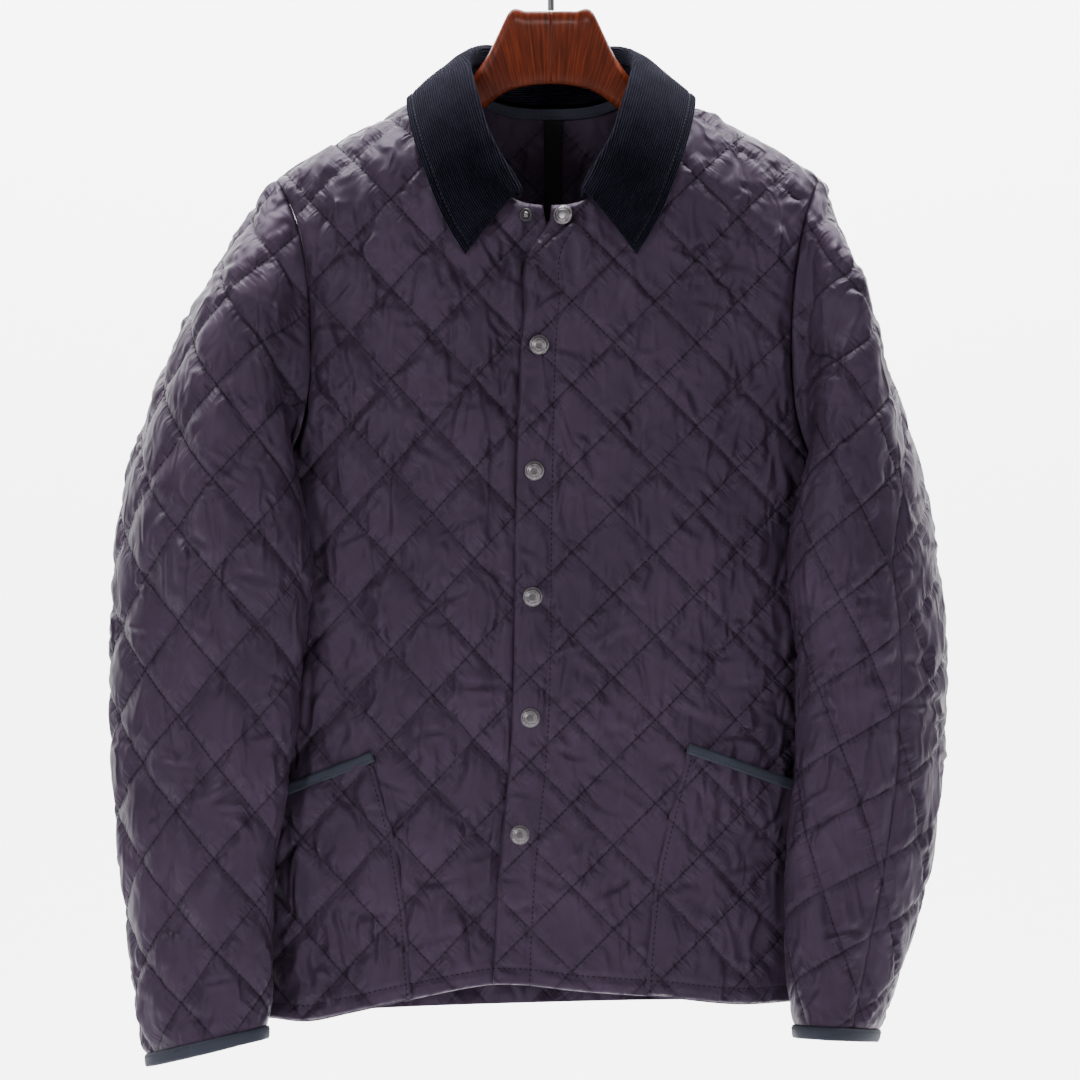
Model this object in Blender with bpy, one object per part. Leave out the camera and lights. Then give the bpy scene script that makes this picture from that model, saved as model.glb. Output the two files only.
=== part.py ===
"""A quilted jacket hanging on a wooden hanger. Metres, +Z up, the jacket faces -Y and the wearer's left
is +X. The origin is the hook's seat, the inside top of the hook. Heights are given as drops below it."""
import math

import bpy
import numpy as np

# Driving sizes
GAP = 0.0004            # left open between pieces at a seam
QUILT = 0.0030          # shell, wadding and lining together
CORD_CLOTH = 0.0024     # two layers of corduroy
TAPE = 0.0010           # woven tape and ribbon
RIBBON_WIDTH = 0.008
NECK_DROP = 0.120       # inner end of the shoulder seam
SHOULDER_DROP = 0.1945  # outer end of the shoulder seam
PIT_DROP = 0.4435
HEM_DROP = 0.830
NECK_HALF = 0.067       # half the neck's width
SHOULDER_HALF = 0.207
BACK_NECK_DROP = 0.141
FRONT_NECK_DROP = 0.216
LEAN = -0.015           # how far the hem hangs off centre
ROUND = 2.2             # exponent of the body's rounded section
SHOULDER_ROUND = 0.075  # drop over which the shoulders round into the front and back
UNDERLAP_SINK = 0.0060  # how far the right front lies behind the left one that laps over it
SEAM_Y = 0.012          # the side seams lie a little behind the middle
SLEEVE_CLEAR = 0.0100   # from the body's outer face to a sleeve that hangs over it
SIDE_ROWS, ARMHOLE_ROWS = 8, 11
NECK_COLUMNS, SHOULDER_COLUMNS = 6, 5
COLUMNS = NECK_COLUMNS + SHOULDER_COLUMNS
CAP_RADIUS, CAP_HEIGHT = 0.0075, 0.0034
SNAP_FROM_EDGE = 0.014
SNAP_DROPS = (0.3224, 0.4177, 0.5131, 0.6047, 0.6933)

# Colours, linear RGB with roughness and metallic
LOOKS = {
    "nylon": ((0.036, 0.026, 0.043), 0.42, 0.0),
    "corduroy": ((0.005, 0.005, 0.010), 0.95, 0.0),
    "ribbon": ((0.021, 0.024, 0.040), 0.75, 0.0),
    "black_tape": ((0.004, 0.004, 0.005), 0.9, 0.0),
    "snap_metal": ((0.18, 0.17, 0.18), 0.30, 1.0),
    "hanger_wood": ((0.11, 0.022, 0.006), 0.22, 0.0),
    "hook_metal": ((0.05, 0.05, 0.055), 0.35, 1.0),
}


# ---- curves and forms -----------------------------------------------------------------------------

def smooth(keys, values, at):
    """A soft curve through values given at rising keys; values may be points."""
    keys = np.asarray(keys, float)
    values = np.asarray(values, float)
    at = np.clip(np.asarray(at, float), keys[0], keys[-1])
    slopes = np.gradient(values, keys, axis=0)
    i = np.clip(np.searchsorted(keys, at, side="right") - 1, 0, len(keys) - 2)
    span = keys[i + 1] - keys[i]
    t = (at - keys[i]) / span
    if values.ndim > 1:
        t, span = t[..., None], span[..., None]
    rise = (3 - 2 * t) * t * t
    return ((1 - rise) * values[i] + rise * values[i + 1]
            + span * t * (1 - t) * ((1 - t) * slopes[i] - t * slopes[i + 1]))


def along(points, count):
    """count points evenly spaced along a soft curve through points."""
    points = np.asarray(points, float)
    steps = np.linalg.norm(np.diff(points, axis=0), axis=1)
    keys = np.concatenate(([0.0], np.cumsum(steps)))
    fine = smooth(keys, points, np.linspace(0, keys[-1], 40 * len(points)))
    length = np.concatenate(([0.0], np.cumsum(np.linalg.norm(np.diff(fine, axis=0), axis=1))))
    where = np.linspace(0, length[-1], count)
    return np.stack([np.interp(where, length, fine[:, k]) for k in range(points.shape[1])], axis=1)


def centre_at(drop):
    """The body's middle, which leans as it hangs."""
    return LEAN * np.clip((drop - SHOULDER_DROP) / (HEM_DROP - SHOULDER_DROP), 0, 1.1)


def half_width_at(drop):
    return smooth((0.08, 0.20, 0.30, PIT_DROP, 0.60, 0.75, 0.84),
                  (0.240, 0.246, 0.244, 0.237, 0.234, 0.236, 0.238), drop)


def front_depth_at(drop):
    return smooth((0.08, 0.14, 0.20, 0.30, 0.45, 0.60, 0.84),
                  (0.044, 0.053, 0.063, 0.076, 0.084, 0.086, 0.088), drop)


def back_depth_at(drop):
    return smooth((0.08, 0.14, 0.20, 0.30, 0.45, 0.84),
                  (0.044, 0.050, 0.058, 0.068, 0.074, 0.080), drop)


def shoulder_drop_at(x):
    """The shoulder line over the hanger's arms, carried on to the middle."""
    return smooth((0.0, NECK_HALF, 0.106, 0.156, SHOULDER_HALF),
                  (0.090, NECK_DROP, 0.1395, 0.166, SHOULDER_DROP), np.abs(x))


def seam_y_at(drop):
    """Y of the side and shoulder seams: over the hanger at the top, a little back at the sides."""
    return SEAM_Y * np.clip((drop - 0.20) / 0.15, 0, 1)


def quarter_round(t):
    """1 at t = 0 and 0 at t = 1, as a rounded quarter."""
    return np.power(np.clip(1 - np.power(np.clip(t, 0, 1), ROUND), 0, 1), 1 / ROUND)


def body_y(x, drop, back=False):
    """Y of the body's outer face, front or back."""
    across = quarter_round(np.abs(x - centre_at(drop)) / half_width_at(drop))
    below = np.clip(drop - shoulder_drop_at(x), 0, SHOULDER_ROUND) / SHOULDER_ROUND
    fullness = across * quarter_round(1 - below)
    seam = seam_y_at(drop)
    if back:
        return seam + (back_depth_at(drop) - seam) * fullness
    return seam - (front_depth_at(drop) + seam) * fullness


def unit(vectors):
    return vectors / np.linalg.norm(vectors, axis=-1, keepdims=True)


def place(x, drop, y):
    return np.stack([x, y, -drop], axis=-1)


# ---- outlines of the body's panels, as (x, drop) ---------------------------------------------------

ARMHOLE = ((SHOULDER_HALF, SHOULDER_DROP), (0.1950, 0.222), (0.1865, 0.26), (0.1825, 0.31),
           (0.1835, 0.355), (0.1915, 0.392), (0.2080, 0.420), (0.2310, PIT_DROP))


def armhole_points(side):
    """From the pit up to the shoulder, closer together near the shoulder."""
    fine = along(ARMHOLE, 400)
    steps = np.arange(ARMHOLE_ROWS + 1) / ARMHOLE_ROWS
    rows = fine[np.round(399 * (1 - steps) ** 1.8).astype(int)]
    lean = centre_at(PIT_DROP) * np.clip((rows[:, 0] - 0.19) / 0.041, 0, 1)
    return np.stack([side * rows[:, 0] + lean, rows[:, 1]], axis=1)


def side_edge(side, hem_drop):
    """Side seam from the hem up to the pit, then the armhole up to the shoulder."""
    drops = np.linspace(hem_drop, PIT_DROP, SIDE_ROWS + 1)[:-1]
    top = armhole_points(side)
    reach = (abs(top[0, 0] - centre_at(PIT_DROP)) / half_width_at(PIT_DROP))
    seam = centre_at(drops) + side * reach * half_width_at(drops)
    return np.concatenate([np.stack([seam, drops], axis=1), top])


def placket_edge_at(drop):
    """X of the left front's free edge."""
    return smooth((0.2156, 0.2315, 0.2452, 0.30, 0.38, 0.44, 0.64, 0.715, 0.78, 0.81),
                  (0.0000, -0.0023, -0.0136, -0.021, -0.0255, -0.0270, -0.0318, -0.0394, -0.0431, -0.0440),
                  drop)


def underlap_edge_at(drop):
    """X of the right front's hidden edge."""
    return smooth((0.2164, 0.235, 0.27, 0.30, 0.81), (-0.006, -0.003, 0.005, 0.008, -0.0140), drop)


def underlap_sink(x, drop):
    """How far the right front lies behind the body's face where the left one laps over it."""
    past = np.clip((x - placket_edge_at(drop) + 0.030) / 0.018, 0, 1)
    return UNDERLAP_SINK * past * past * (3 - 2 * past)


def front_edge(left, top_drop, hem_drop):
    """A front's free edge, with as many rows as its side edge has."""
    low = np.linspace(hem_drop, PIT_DROP, SIDE_ROWS + 1)[:-1]
    steps = np.arange(ARMHOLE_ROWS + 1) / ARMHOLE_ROWS
    high = PIT_DROP + (top_drop - PIT_DROP) * (1 - (1 - steps) ** 1.25)
    drops = np.concatenate([low, high])
    edge = placket_edge_at(drops) if left else underlap_edge_at(drops)
    return np.stack([edge, drops], axis=1)


def neckline_at(x, back=False):
    """Drop of the neckline, up to the shoulder seam's inner end."""
    reach = np.clip(np.abs(x) / NECK_HALF, 0, 1)
    if back:
        return NECK_DROP + (BACK_NECK_DROP - NECK_DROP) * (1 - reach ** 3)
    return NECK_DROP + (FRONT_NECK_DROP - NECK_DROP) * np.sqrt(1 - reach ** 2.6)


def neck_and_shoulder(side, start, back=False):
    """Top edge from the middle out: the neckline, evenly spaced along it, then the shoulder seam."""
    fine = start + (side * NECK_HALF - start) * np.sin(np.linspace(0, math.pi / 2, 300))
    drops = neckline_at(fine, back)
    curve = np.stack([fine, drops, body_y(fine, drops, back)], axis=1)
    length = np.concatenate(([0.0], np.cumsum(np.linalg.norm(np.diff(curve, axis=0), axis=1))))
    x = np.interp(np.linspace(0, length[-1], NECK_COLUMNS + 1), length, side * fine) * side
    out = np.linspace(NECK_HALF, SHOULDER_HALF, SHOULDER_COLUMNS + 1)[1:]
    neck = np.stack([x, neckline_at(x, back)], axis=1)
    shoulder = np.stack([side * out, shoulder_drop_at(out)], axis=1)
    return np.concatenate([neck, shoulder])


FRONT_HEM = ((-0.26, 0.829), (-0.212, 0.8326), (-0.186, 0.8350), (-0.154, 0.8288), (-0.1105, 0.819),
             (-0.0613, 0.8091), (-0.044, 0.8066), (-0.0265, 0.8066), (0.018, 0.8114), (0.0825, 0.8162),
             (0.148, 0.822), (0.182, 0.8200), (0.25, 0.816))


def front_hem_at(x):
    x_keys, drops = zip(*FRONT_HEM)
    return smooth(x_keys, drops, x)


def back_hem_at(x):
    """The back hem hangs a little higher in the middle."""
    return 0.8225 + 0.0065 * np.power(np.abs(x - LEAN) / 0.235, 3) - x * 0.028


def hem_points(start, end, back=False):
    """Hem from the middle out, closer together where the side rounds away."""
    share = np.sin(np.linspace(0, math.pi / 2, COLUMNS + 1) ** 1.08 / (math.pi / 2) ** 0.08)
    x = start + (end - start) * share
    return np.stack([x, back_hem_at(x) if back else front_hem_at(x)], axis=1), share


def fill_patch(bottom, top, inner, outer, share):
    """Points (row, column) inside four edges, each column set by its share of the way across."""
    v = np.linspace(0, 1, len(inner))[:, None, None]
    s = share[None, :, None]
    inner_bow = inner[:, None] - (1 - v) * inner[0] - v * inner[-1]
    outer_bow = outer[:, None] - (1 - v) * outer[0] - v * outer[-1]
    return (1 - v) * bottom[None] + v * top[None] + (1 - s) * inner_bow + s * outer_bow


# ---- walls ---------------------------------------------------------------------------------------

def grid_normals(points, closed=False):
    """Unit normals of a grid of points; the second direction may close on itself."""
    if closed:
        across = np.roll(points, -1, axis=1) - np.roll(points, 1, axis=1)
    else:
        across = np.gradient(points, axis=1)
    up = np.gradient(points, axis=0)
    normals = np.cross(across, up)
    return normals / np.maximum(np.linalg.norm(normals, axis=-1, keepdims=True), 1e-12)


def evened(normals, rounds=2, closed=False):
    """Normals shared with their neighbours, so that the inner face doesn't cross itself."""
    for _ in range(rounds):
        padded = np.pad(normals, ((1, 1), (0, 0), (0, 0)), mode="edge")
        padded = np.pad(padded, ((0, 0), (1, 1), (0, 0)), mode="wrap" if closed else "edge")
        normals = unit(2 * normals + padded[2:, 1:-1] + padded[:-2, 1:-1] + padded[1:-1, 2:]
                       + padded[1:-1, :-2])
    return normals


def facing(normals, points, outward):
    """Turns normals so that they point the way outward(points) does."""
    if np.sum(normals * outward(points)) < 0:
        return -normals
    return normals


def wall(name, look, outer, inner, closed=False):
    """A closed solid between two grids of points, with its rim faces."""
    rows, columns = outer.shape[:2]
    count = rows * columns
    points = np.concatenate([outer.reshape(-1, 3), inner.reshape(-1, 3)])
    faces = []
    spans = columns if closed else columns - 1
    for r in range(rows - 1):
        for c in range(spans):
            a, b = r * columns + c, r * columns + (c + 1) % columns
            d, e = a + columns, b + columns
            faces.append((a, b, e, d))
            faces.append((a + count, d + count, e + count, b + count))
    for r, turn in ((0, False), (rows - 1, True)):
        for c in range(spans):
            a, b = r * columns + c, r * columns + (c + 1) % columns
            rim = (b, a, a + count, b + count)
            faces.append(rim[::-1] if turn else rim)
    if not closed:
        for c, turn in ((0, False), (columns - 1, True)):
            for r in range(rows - 1):
                a, b = r * columns + c, (r + 1) * columns + c
                rim = (a, b, b + count, a + count)
                faces.append(rim[::-1] if turn else rim)
    return solid(name, look, points, faces)


def solid(name, look, points, faces):
    """A mesh object in one material, its faces all turned outward."""
    mesh = bpy.data.meshes.new(name)
    mesh.from_pydata([tuple(map(float, p)) for p in points], [], faces)
    mesh.update()
    if signed_volume(points, faces) < 0:
        mesh.flip_normals()
    mesh.shade_smooth()
    mesh.set_sharp_from_angle(angle=math.radians(50))
    mesh.materials.append(bpy.data.materials[look])
    thing = bpy.data.objects.new(name, mesh)
    bpy.context.collection.objects.link(thing)
    return thing


def signed_volume(points, faces):
    total = 0.0
    for face in faces:
        for k in range(1, len(face) - 1):
            a, b, c = (points[face[0]], points[face[k]], points[face[k + 1]])
            total += np.dot(a, np.cross(b, c))
    return total


def make_looks():
    for name, (colour, roughness, metallic) in LOOKS.items():
        material = bpy.data.materials.new(name)
        material.use_nodes = True
        shader = material.node_tree.nodes["Principled BSDF"]
        shader.inputs["Base Color"].default_value = (*colour, 1)
        shader.inputs["Roughness"].default_value = roughness
        shader.inputs["Metallic"].default_value = metallic


# ---- fronts and back -------------------------------------------------------------------------------

def flat_at_seams(normals, columns_of_side, row_of_shoulder=None, shoulder_from=0):
    """At side and shoulder seams the cloth stands square to the seam's plane, so both panels meet."""
    for c in columns_of_side:
        normals[:SIDE_ROWS + 1, c, 1] = 0
        normals[:SIDE_ROWS + 1, c, 2] = 0
    if row_of_shoulder is not None:
        for c in range(normals.shape[1]):
            if shoulder_from(c):
                normals[row_of_shoulder, c, 1] = 0
    return normals / np.linalg.norm(normals, axis=-1, keepdims=True)


def front_panel(left):
    """Grid of a front's outer face and its normals. Columns run from the free edge to the side."""
    side = 1 if left else -1
    start_x = 0.0 if left else -0.006
    outer = side_edge(side, front_hem_at(side * 0.235 + LEAN))
    free_x = placket_edge_at(0.81) if left else underlap_edge_at(0.81)
    bottom, share = hem_points(free_x, outer[0, 0])
    bottom[0, 1] = front_hem_at(free_x)
    top = neck_and_shoulder(side, start_x)
    inner = front_edge(left, top[0, 1], bottom[0, 1])
    inner[0], inner[-1] = bottom[0], top[0]
    outer[0], outer[-1] = bottom[-1], top[-1]
    patch = fill_patch(bottom, top, inner, outer, share)
    x, drop = patch[..., 0], patch[..., 1]
    y = body_y(x, drop) - 0.00025
    if not left:
        y = y + underlap_sink(x, drop)
    points = place(x, drop, y)
    normals = facing(grid_normals(points), points, lambda p: np.array([0, -1.0, 0]) + 0 * p)
    on_shoulder = lambda c: c >= NECK_COLUMNS
    return points, flat_at_seams(evened(normals), [-1], -1, on_shoulder)


def back_panel():
    """Grid of the back's outer face. Columns run from the wearer's right side to the left."""
    grids = []
    for side in (-1, 1):
        outer = side_edge(side, back_hem_at(side * 0.235 + LEAN))
        bottom, share = hem_points(LEAN, outer[0, 0], back=True)
        top = neck_and_shoulder(side, 0.0, back=True)
        inner = front_edge(True, top[0, 1], bottom[0, 1])
        inner[:, 0] = centre_at(inner[:, 1])
        inner[0], inner[-1] = bottom[0], top[0]
        outer[0], outer[-1] = bottom[-1], top[-1]
        grids.append(fill_patch(bottom, top, inner, outer, share))
    patch = np.concatenate([grids[0][:, ::-1], grids[1][:, 1:]], axis=1)
    x, drop = patch[..., 0], patch[..., 1]
    points = place(x, drop, body_y(x, drop, back=True) + 0.00025)
    normals = facing(grid_normals(points), points, lambda p: np.array([0, 1.0, 0]) + 0 * p)
    on_shoulder = lambda c: abs(c - COLUMNS) >= NECK_COLUMNS
    return points, flat_at_seams(evened(normals), [0, -1], -1, on_shoulder)


def make_body():
    panels = {}
    for name, left in (("front_left", True), ("front_right", False)):
        panels[name] = front_panel(left)
    panels["back"] = back_panel()
    for name, (points, normals) in panels.items():
        wall(name, "nylon", points, points - QUILT * normals)
    return panels


# ---- sleeves ---------------------------------------------------------------------------------------

# Each row: drop, outer x, inner x, middle y, half depth, all for the tube below the armhole
SLEEVE_RIGHT = ((0.500, 0.3330, 0.1815, -0.044, 0.056), (0.557, 0.3354, 0.1885, -0.050, 0.044),
                (0.606, 0.3354, 0.192, -0.054, 0.040), (0.655, 0.3325, 0.200, -0.058, 0.038),
                (0.7145, 0.327, 0.208, -0.061, 0.037), (0.771, 0.321, 0.211, -0.064, 0.036),
                (0.815, 0.3145, 0.212, -0.066, 0.035), (0.8495, 0.3065, 0.2145, -0.068, 0.035))
SLEEVE_LEFT = ((0.500, 0.2967, 0.180, -0.046, 0.064), (0.557, 0.3015, 0.1866, -0.048, 0.057),
               (0.606, 0.3005, 0.1855, -0.050, 0.053), (0.655, 0.297, 0.184, -0.053, 0.049),
               (0.7145, 0.2880, 0.178, -0.056, 0.0445), (0.771, 0.2725, 0.177, -0.059, 0.0445),
               (0.8046, 0.2615, 0.180, -0.061, 0.046), (0.8400, 0.2490, 0.1838, -0.062, 0.047))
SLEEVE_TILT = {-1: 0.24, 1: 0.06}     # slope of the cuff's plane across, lower on the outside
SLEEVE_SHEAR = 0.34                   # the inner side hangs further forward
CAP_OUT = {-1: (0.60, 0.80), 1: (0.25, 0.97)}
CAP_RINGS = 8
CUFF_GAP = 0.0012
PIT_ANGLE = math.radians(258)         # where the tube's section passes the body's side
SIDE_BAND = 0.034                     # the body's side begins this far before its seam


def sleeve_angles(count):
    """Angle of each point of a section: 0 outside, 90 in front, 180 over the body, then behind."""
    half = count // 2
    front = np.linspace(0, PIT_ANGLE, half + 1)
    behind = np.linspace(PIT_ANGLE, 2 * math.pi, count - half + 1)[1:-1]
    return np.concatenate([front, behind])


def sleeve_ring(side, row, tilt, angles):
    """One section of the sleeve's tube, as it hangs."""
    drop, outer, inner, y_mid, depth = row
    x_mid, reach = (outer + inner) / 2, (outer - inner) / 2
    out = reach * np.cos(angles)
    y = y_mid - depth * np.sin(angles) + SLEEVE_SHEAR * out
    return place(side * (x_mid + out), drop + tilt * out, y)


def clear_of_body(points):
    """Moves points that would lie within the body, below the armhole, until clear of it: those in front
    forward, those by the side seam and behind it straight out from the body's middle."""
    x, drop = points[..., 0], -points[..., 2]
    armhole_low = np.interp(np.abs(x - centre_at(PIT_DROP)), (0.1835, 0.1915, 0.2080, 0.2310),
                            (0.355, 0.392, 0.420, PIT_DROP))
    share = np.clip((drop - armhole_low - 0.002) / 0.014, 0, 1)
    clear = SLEEVE_CLEAR * share
    reach = np.abs(x - centre_at(drop)) / (half_width_at(drop) + clear)
    seam = seam_y_at(drop)
    face = seam - (front_depth_at(drop) + seam + clear) * quarter_round(reach)
    moved = points.copy()
    hidden = (reach < 1) & (share > 0)
    before = points[..., 1] < seam - SIDE_BAND
    moved[..., 1] = np.where(hidden & before, np.minimum(points[..., 1], face), points[..., 1])
    away = points[..., 1] - seam
    deep = np.where(away > 0, back_depth_at(drop) - seam, front_depth_at(drop) + seam) + clear
    size = np.power(np.power(reach, ROUND) + np.power(np.abs(away) / deep, ROUND), 1 / ROUND)
    grow = np.where(~before & (share > 0), 1 / np.clip(size, 0.6, 1), 1.0)
    moved[..., 0] = np.where(before, moved[..., 0], centre_at(drop) + (x - centre_at(drop)) * grow)
    moved[..., 1] = np.where(before, moved[..., 1], seam + (points[..., 1] - seam) * grow)
    return moved


def cap_rings(side, loop, first, second, angles):
    """Rings from the armhole's loop to the tube's first section, each point on its own soft path."""
    chord = np.linalg.norm(first - loop, axis=1, keepdims=True)
    out, down = CAP_OUT[side]
    top = np.array([side * out, 0, -down])
    share = np.clip(np.cos(angles), 0, 1)[:, None]
    forward = 0.45 * np.clip((loop[:, 1] - SEAM_Y) / 0.05, -1, 1)
    beyond = np.stack([side * 0.85 + 0 * angles, forward, -0.25 + 0 * angles], axis=1)
    leave = share * top + (1 - share) * beyond
    leave /= np.linalg.norm(leave, axis=1, keepdims=True)
    arrive = second - first
    arrive /= np.linalg.norm(arrive, axis=1, keepdims=True)
    rings = []
    for t in np.linspace(0, 1, CAP_RINGS + 1)[:-1]:
        rise = (3 - 2 * t) * t * t
        ring = ((1 - rise) * loop + rise * first
                + chord * t * (1 - t) * ((1 - t) * leave - t * arrive))
        rings.append(ring)
    return rings


def sleeve_grid(side, panels):
    """Rings of the sleeve's outer face from the armhole to the cuff, and their normals."""
    front, front_normals = panels["front_left" if side > 0 else "front_right"]
    back, back_normals = panels["back"]
    column = -1 if side > 0 else 0
    rows = slice(SIDE_ROWS, None)
    loop = np.concatenate([front[rows, -1][::-1], back[rows, column][1:-1]])
    loop_normals = np.concatenate([front_normals[rows, -1][::-1], back_normals[rows, column][1:-1]])
    angles = sleeve_angles(len(loop))
    near_pit = np.exp(-((loop[:, 2] + PIT_DROP) / 0.03) ** 2)
    loop = loop + GAP * 1.6 * np.stack([side + 0 * near_pit, 0 * near_pit, near_pit], axis=1)
    table = SLEEVE_LEFT if side > 0 else SLEEVE_RIGHT
    tube = []
    for k, row in enumerate(table):
        tilt = SLEEVE_TILT[side] * (k / (len(table) - 1)) ** 2
        tube.append(clear_of_body(sleeve_ring(side, row, tilt, angles)))
    grid = np.stack(cap_rings(side, loop, tube[0], tube[1], angles) + tube)
    grid[1:] = clear_of_body(grid[1:])
    normals = facing(grid_normals(grid, closed=True), grid, lambda p: p - p.mean(axis=1, keepdims=True))
    normals = evened(normals, 3, closed=True)
    below = np.exp(-((loop[:, 2:] + PIT_DROP) / 0.045) ** 2)
    normals[0] = unit(normals[0] * below + loop_normals * (1 - below))
    normals[1] = unit(normals[1] + loop_normals * (1 - below))
    return grid, normals


def ring_at(grid, places):
    """Points of each ring at the given places, counted in columns round the ring."""
    count = grid.shape[1]
    low = np.floor(places).astype(int)
    part = (places - low)[..., None]
    rows = np.arange(grid.shape[0])[:, None]
    return grid[rows, low % count] * (1 - part) + grid[rows, (low + 1) % count] * part


def long_seam(side, rings):
    """Place of the long back seam on each ring. The left sleeve's turns to the front below its cap."""
    start = np.full(rings, -3.0)
    if side > 0:
        turn = np.clip(np.arange(rings) / (CAP_RINGS + 1), 0, 1)
        start = -2.0 + 4.9 * turn * turn * (3 - 2 * turn)
    return start


def make_sleeve(side, word, panels):
    grid, normals = sleeve_grid(side, panels)
    inner = grid - QUILT * normals
    rings, count = grid.shape[:2]
    back_seam = long_seam(side, rings)
    under_seam = np.full(rings, count // 2 + 0.0)
    pieces = (("top", back_seam, under_seam), ("under", under_seam, back_seam + count))
    for part, first, last in pieces:
        columns = round(last[0] - first[0])
        share = np.linspace(0, 1, columns + 1)
        places = first[:, None] + (last - first)[:, None] * share
        faces = [ring_at(grid, places), ring_at(inner, places)]
        for edge, neighbour in ((0, 1), (-1, -2)):
            back_off = unit(faces[0][:, neighbour] - faces[0][:, edge]) * GAP
            for face in faces:
                face[:, edge] += back_off
        wall(f"sleeve_{word}_{part}", "nylon", *faces)
    run = grid[-1] - grid[-2]
    run /= np.linalg.norm(run, axis=1, keepdims=True)
    top, low = grid[-1] + run * CUFF_GAP, grid[-1] + run * (CUFF_GAP + RIBBON_WIDTH)
    band = np.stack([top, low]) + 0.0002 * normals[-1]
    wall(f"cuff_binding_{word}", "ribbon", band, band - (QUILT + 0.0004) * normals[-1], closed=True)


# ---- collar ----------------------------------------------------------------------------------------

COLLAR_STEPS = 15
# From the front end back to the middle of the neck: x, drop, and y or the face it lies on
COLLAR_FOLD = ((0.0245, 0.2060, "front"), (0.0330, 0.1900, "front"), (0.0480, 0.1630, "front"),
               (0.0570, 0.1360, -0.052), (0.0625, 0.1010, 0.004), (0.043, 0.0960, 0.042),
               (0.0, 0.0955, 0.0550))
COLLAR_EDGE = ((0.0650, 0.2535, "front"), (0.0800, 0.2290, "front"), (0.0960, 0.1900, "front"),
               (0.1065, 0.1560, "front"), (0.1080, 0.1340, 0.002), (0.094, 0.1500, "back"),
               (0.050, 0.1620, "back"), (0.0, 0.1640, "back"))
NECK_MIDDLE = np.array([0.0, -0.006, -0.085])


def collar_curve(rows, lift):
    """One side's curve from the front end to the middle, lift off the face that it lies on."""
    points = []
    for x, drop, y in rows:
        if y == "front":
            y = body_y(x, drop) - lift
        elif y == "back":
            y = body_y(x, drop, back=True) + lift
        points.append((x, float(y), -drop))
    return along(points, COLLAR_STEPS)


def neck_seam_curve():
    """Just inside the neckline, from the collar's front end to the middle of the back."""
    points = []
    for x in (0.0235, 0.036, 0.047, 0.055, 0.0610, 0.0650, 0.0667):
        drop = float(neckline_at(x))
        points.append((x, float(body_y(x, drop)), -drop))
    for x in (0.0667, 0.060, 0.048, 0.032, 0.016, 0.0):
        drop = float(neckline_at(x, back=True))
        points.append((x, float(body_y(x, drop, back=True)), -drop))
    curve = along(points, COLLAR_STEPS)
    inward = NECK_MIDDLE - curve
    return curve + 0.0032 * inward / np.linalg.norm(inward, axis=1, keepdims=True)


def mirrored(curve):
    return np.concatenate([curve * np.array([-1, 1, 1]), curve[::-1][1:]])


def make_collar():
    """One piece of corduroy: up from the neck seam, over the fold and down to the leaf's edge."""
    seam = mirrored(neck_seam_curve())
    fold = mirrored(collar_curve(COLLAR_FOLD, 0.0120))
    edge = mirrored(collar_curve(COLLAR_EDGE, 0.0058))
    out = unit(fold * np.array([1, 1, 0]) + np.array([0, 0.005, 0]))
    down, back_down = unit(edge - fold), unit(seam - fold)
    away = unit(out - down * np.sum(out * down, axis=1, keepdims=True))
    rows = [seam, seam * 0.5 + fold * 0.5 - away * 0.0008, fold + back_down * 0.0042 - away * 0.0018,
            fold - down * 0.0012, fold + down * 0.0046 + away * 0.0034,
            fold * 0.67 + edge * 0.33 + away * 0.0056, fold * 0.34 + edge * 0.66 + away * 0.0046, edge]
    grid = np.stack(rows)
    normals = grid_normals(grid)
    normals = facing(normals, grid, lambda p: np.concatenate([0 * p[:4], out[None] + 0 * p[4:]]))
    wall("collar", "corduroy", grid + normals * CORD_CLOTH / 2, grid - normals * CORD_CLOTH / 2)


# ---- what lies on the panels ----------------------------------------------------------------------

# Inner edge of each pocket, from the binding's top to the hem, then the mouth's line outward
POCKET_INNER = {-1: ((-0.1355, 0.6305), (-0.124, 0.6729), (-0.1158, 0.7092), (-0.109, 0.7554), (-0.1045, 0.8150)),
                1: ((0.1045, 0.6237), (0.0908, 0.6729), (0.081, 0.7115), (0.0742, 0.7600), (0.0705, 0.8130))}
POCKET_MOUTH = {-1: ((-0.1355, 0.6305), (-0.199, 0.6554), (-0.2180, 0.6625)),
                1: ((0.1045, 0.6237), (0.182, 0.6517), (0.2020, 0.6590))}
POCKET_CLOTH = 0.0024
POCKET_OFF = 0.0012


def on_front(patch, off):
    """Points that lie off the front's outer face by off, square to it."""
    x, drop = patch[..., 0], patch[..., 1]
    step = 0.0008
    y = body_y(x, drop)
    slope_x = (body_y(x + step, drop) - body_y(x - step, drop)) / (2 * step)
    slope_z = -(body_y(x, drop + step) - body_y(x, drop - step)) / (2 * step)
    normal = np.stack([slope_x, -np.ones_like(y), slope_z], axis=-1)
    normal /= np.linalg.norm(normal, axis=-1, keepdims=True)
    return place(x, drop, y) + normal * off


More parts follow.
